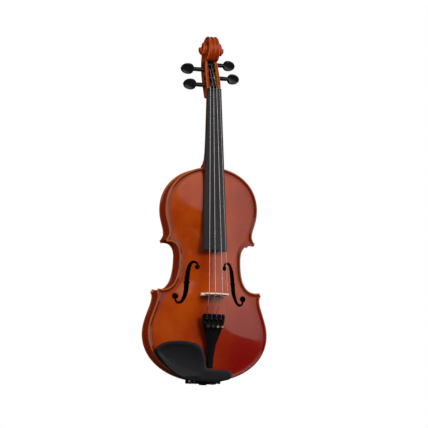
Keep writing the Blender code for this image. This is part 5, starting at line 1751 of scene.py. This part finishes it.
def make_world():
    """White to the camera; soft panels on black for everything else."""
    world = bpy.data.worlds.new("studio")
    bpy.context.scene.world = world
    world.use_nodes = True
    sky = Nodes(world.node_tree)
    background = sky.tree.nodes["Background"]
    sky.feed(background.inputs["Color"], (1.0, 1.0, 1.0))
    direction = sky.node("TexCoord").outputs["Generated"]
    x, y, z = sky.node("SeparateXYZ", {0: direction}).outputs
    rays = sky.node("LightPath").outputs
    # azimuth is 0 towards -Y and grows towards +X
    azimuth = sky.math("ARCTAN2", x, sky.times(y, -1.0))
    elevation = sky.math("ARCSINE", z)

    def fade(value, start, end):
        return sky.ramp(value, (math.radians(start), math.radians(end)))

    def panel(left, right, bottom, top, lower_edge=None):
        """A soft-edged panel; each side is a pair of degrees, from dark to lit."""
        across = sky.times(fade(azimuth, *left), fade(azimuth, *right))
        low = fade(elevation if lower_edge is None else lower_edge, *bottom)
        return sky.times(across, sky.times(low, fade(elevation, *top)))

    def matte(lit, strength):
        """Keeps a panel out of reflections."""
        return sky.times(sky.times(lit, strength), sky.minus(1.0, rays["Is Glossy Ray"]))

    sloped = sky.plus(elevation, sky.times(azimuth, 0.12))
    right = panel(left=(9.0, 21.0), right=(125.0, 95.0), bottom=(4.3, 5.4), top=(70.0, 50.0),
                  lower_edge=sloped)
    over = panel(left=(-42.0, -30.0), right=(30.0, 18.0), bottom=(15.0, 20.0), top=(80.0, 60.0))
    left = panel(left=(-22.5, -20.0), right=(-10.0, -13.0), bottom=(-3.0, 1.0), top=(20.0, 12.0))
    rear = panel(left=(112.0, 128.0), right=(158.0, 150.0), bottom=(6.0, 14.0),
                 top=(72.0, 50.0))
    both = sky.plus(sky.times(left, 0.42), sky.times(rear, 0.55))
    panels = sky.plus(matte(right, 1.12), sky.plus(matte(over, 0.75), both))
    fill = sky.plus(0.034, panels)
    dim = sky.minus(1.0, sky.times(rays["Is Diffuse Ray"], 0.55))
    seen = rays["Is Camera Ray"]
    unseen = sky.times(sky.times(sky.minus(1.0, seen), fill), dim)
    sky.feed(background.inputs["Strength"], sky.plus(sky.times(seen, 1.0), unseen))


def make_card():
    """A tall curved glowing card, seen only in polished surfaces."""
    material = bpy.data.materials.new("studio_card")
    material.use_nodes = True
    nodes = Nodes(material.node_tree)
    nodes.tree.nodes.clear()
    strength = nodes.node("Attribute", attribute_name="glow").outputs["Fac"]
    inputs = {"Color": (1.0, 1.0, 1.0), "Strength": strength}
    emission = nodes.node("Emission", inputs).outputs["Emission"]
    nodes.node("OutputMaterial", {"Surface": emission})

    radius, top = 1.4, 1.75
    side_glow, over_glow = 1.12, 0.95
    azimuths = np.linspace(-50.0, 118.0, 113)
    shares = np.concatenate([[0.0, 0.006], np.linspace(0.02, 0.85, 60), [0.93, 1.0]])
    verts, glow = [], []
    for degrees in azimuths:
        angle = math.radians(degrees)
        foot = 0.125 - 0.003 * (degrees - 24.0)
        side = float(ease(degrees, 2.0, 34.0)) * float(ease(degrees, 118.0, 95.0))
        over = float(ease(degrees, -48.0, -34.0)) * float(ease(degrees, 30.0, 20.0))
        for share in shares:
            z = foot + (top - foot) * share
            verts.append((radius * math.sin(angle), -radius * math.cos(angle), z))
            low = side * float(ease(share, 0.0, 0.006))
            high = over * float(ease(z, 0.50, 0.60))
            lit = side_glow * low + over_glow * high * (1 - low)
            glow.append(lit * float(ease(share, 1.0, 0.85)))
    count = len(shares)
    corners = [i * count + j for i in range(len(azimuths) - 1) for j in range(count - 1)]
    mesh = bpy.data.meshes.new("studio_card")
    mesh.from_pydata(verts, [], [(k, k + count, k + count + 1, k + 1) for k in corners])
    values = np.array(glow, dtype=np.float32)
    mesh.attributes.new("glow", "FLOAT", "POINT").data.foreach_set("value", values)
    mesh.materials.append(material)
    card = new_object("studio_card", mesh)
    card.visible_camera = card.visible_diffuse = False
    card.visible_shadow = card.visible_transmission = False


def soft_light(name, location, size, power, aim=AIM):
    """A rectangular light that leaves no reflection."""
    light = bpy.data.lights.new(name, "AREA")
    light.shape = "RECTANGLE"
    light.size, light.size_y = size
    light.energy = power
    lamp = new_object(name, light)
    lamp.location = location
    towards = Vector(aim) - Vector(location)
    lamp.rotation_euler = towards.to_track_quat("-Z", "Y").to_euler()
    lamp.visible_glossy = False


def make_lights():
    soft_light("key_front", location=(0.30, -2.05, 0.86), size=(0.6, 0.6), power=30.0)
    soft_light("rim_low_left", location=(-1.9, -0.35, 0.5), size=(0.25, 1.2), power=15.0)
    soft_light("low_front", location=(0.25, -1.5, -0.75), size=(0.8, 0.4), power=10.0,
               aim=(0.0, -0.03, 0.15))
    soft_light("back_light", location=(0.9, 1.9, 1.5), size=(1.2, 1.0), power=42.0)


def make_camera():
    data = bpy.data.cameras.new("camera")
    data.sensor_width = 36.0
    data.lens = 255.96
    data.clip_end = 100.0
    camera = new_object("camera", data)
    target = Vector((0.0052, -0.0155, 0.2846))
    distance = 5.061
    backward = Vector((-0.3027, -0.9492, -0.0859)).normalized()  # from target to camera
    right = Vector((0.9527, -0.3039, 0.0)).normalized()
    up = backward.cross(right).normalized()
    roll_cos, roll_sin = 0.99952, -0.03089
    rolled = (right * roll_cos - up * roll_sin, right * roll_sin + up * roll_cos, backward)
    turn = Matrix(rolled).transposed().to_4x4()
    camera.matrix_world = Matrix.Translation(target + backward * distance) @ turn
    bpy.context.scene.camera = camera
    bpy.context.scene.view_settings.view_transform = "Standard"


# ---------------------------------------------------------------- build
make_top()
make_back()
for sign, side in ((1, "treble"), (-1, "bass")):
    for bout in BOUTS:
        make_rib(bout, sign, side)
make_neck()
make_fingerboard()
make_nut()
make_saddle()
make_end_button()
for name, peg in PEGS.items():
    make_peg(name, peg)
make_bridge()
make_tailpiece()
for name, string in STRINGS.items():
    make_tuner(name, string.tail_x)
for name, string in STRINGS.items():
    make_string(name, string)
make_tailgut()
make_chin_rest()
make_bracket()
make_clamp_foot()
for side, x in POSTS.items():
    make_barrel(side, x)
make_floor()
make_world()
make_card()
make_lights()
make_camera()
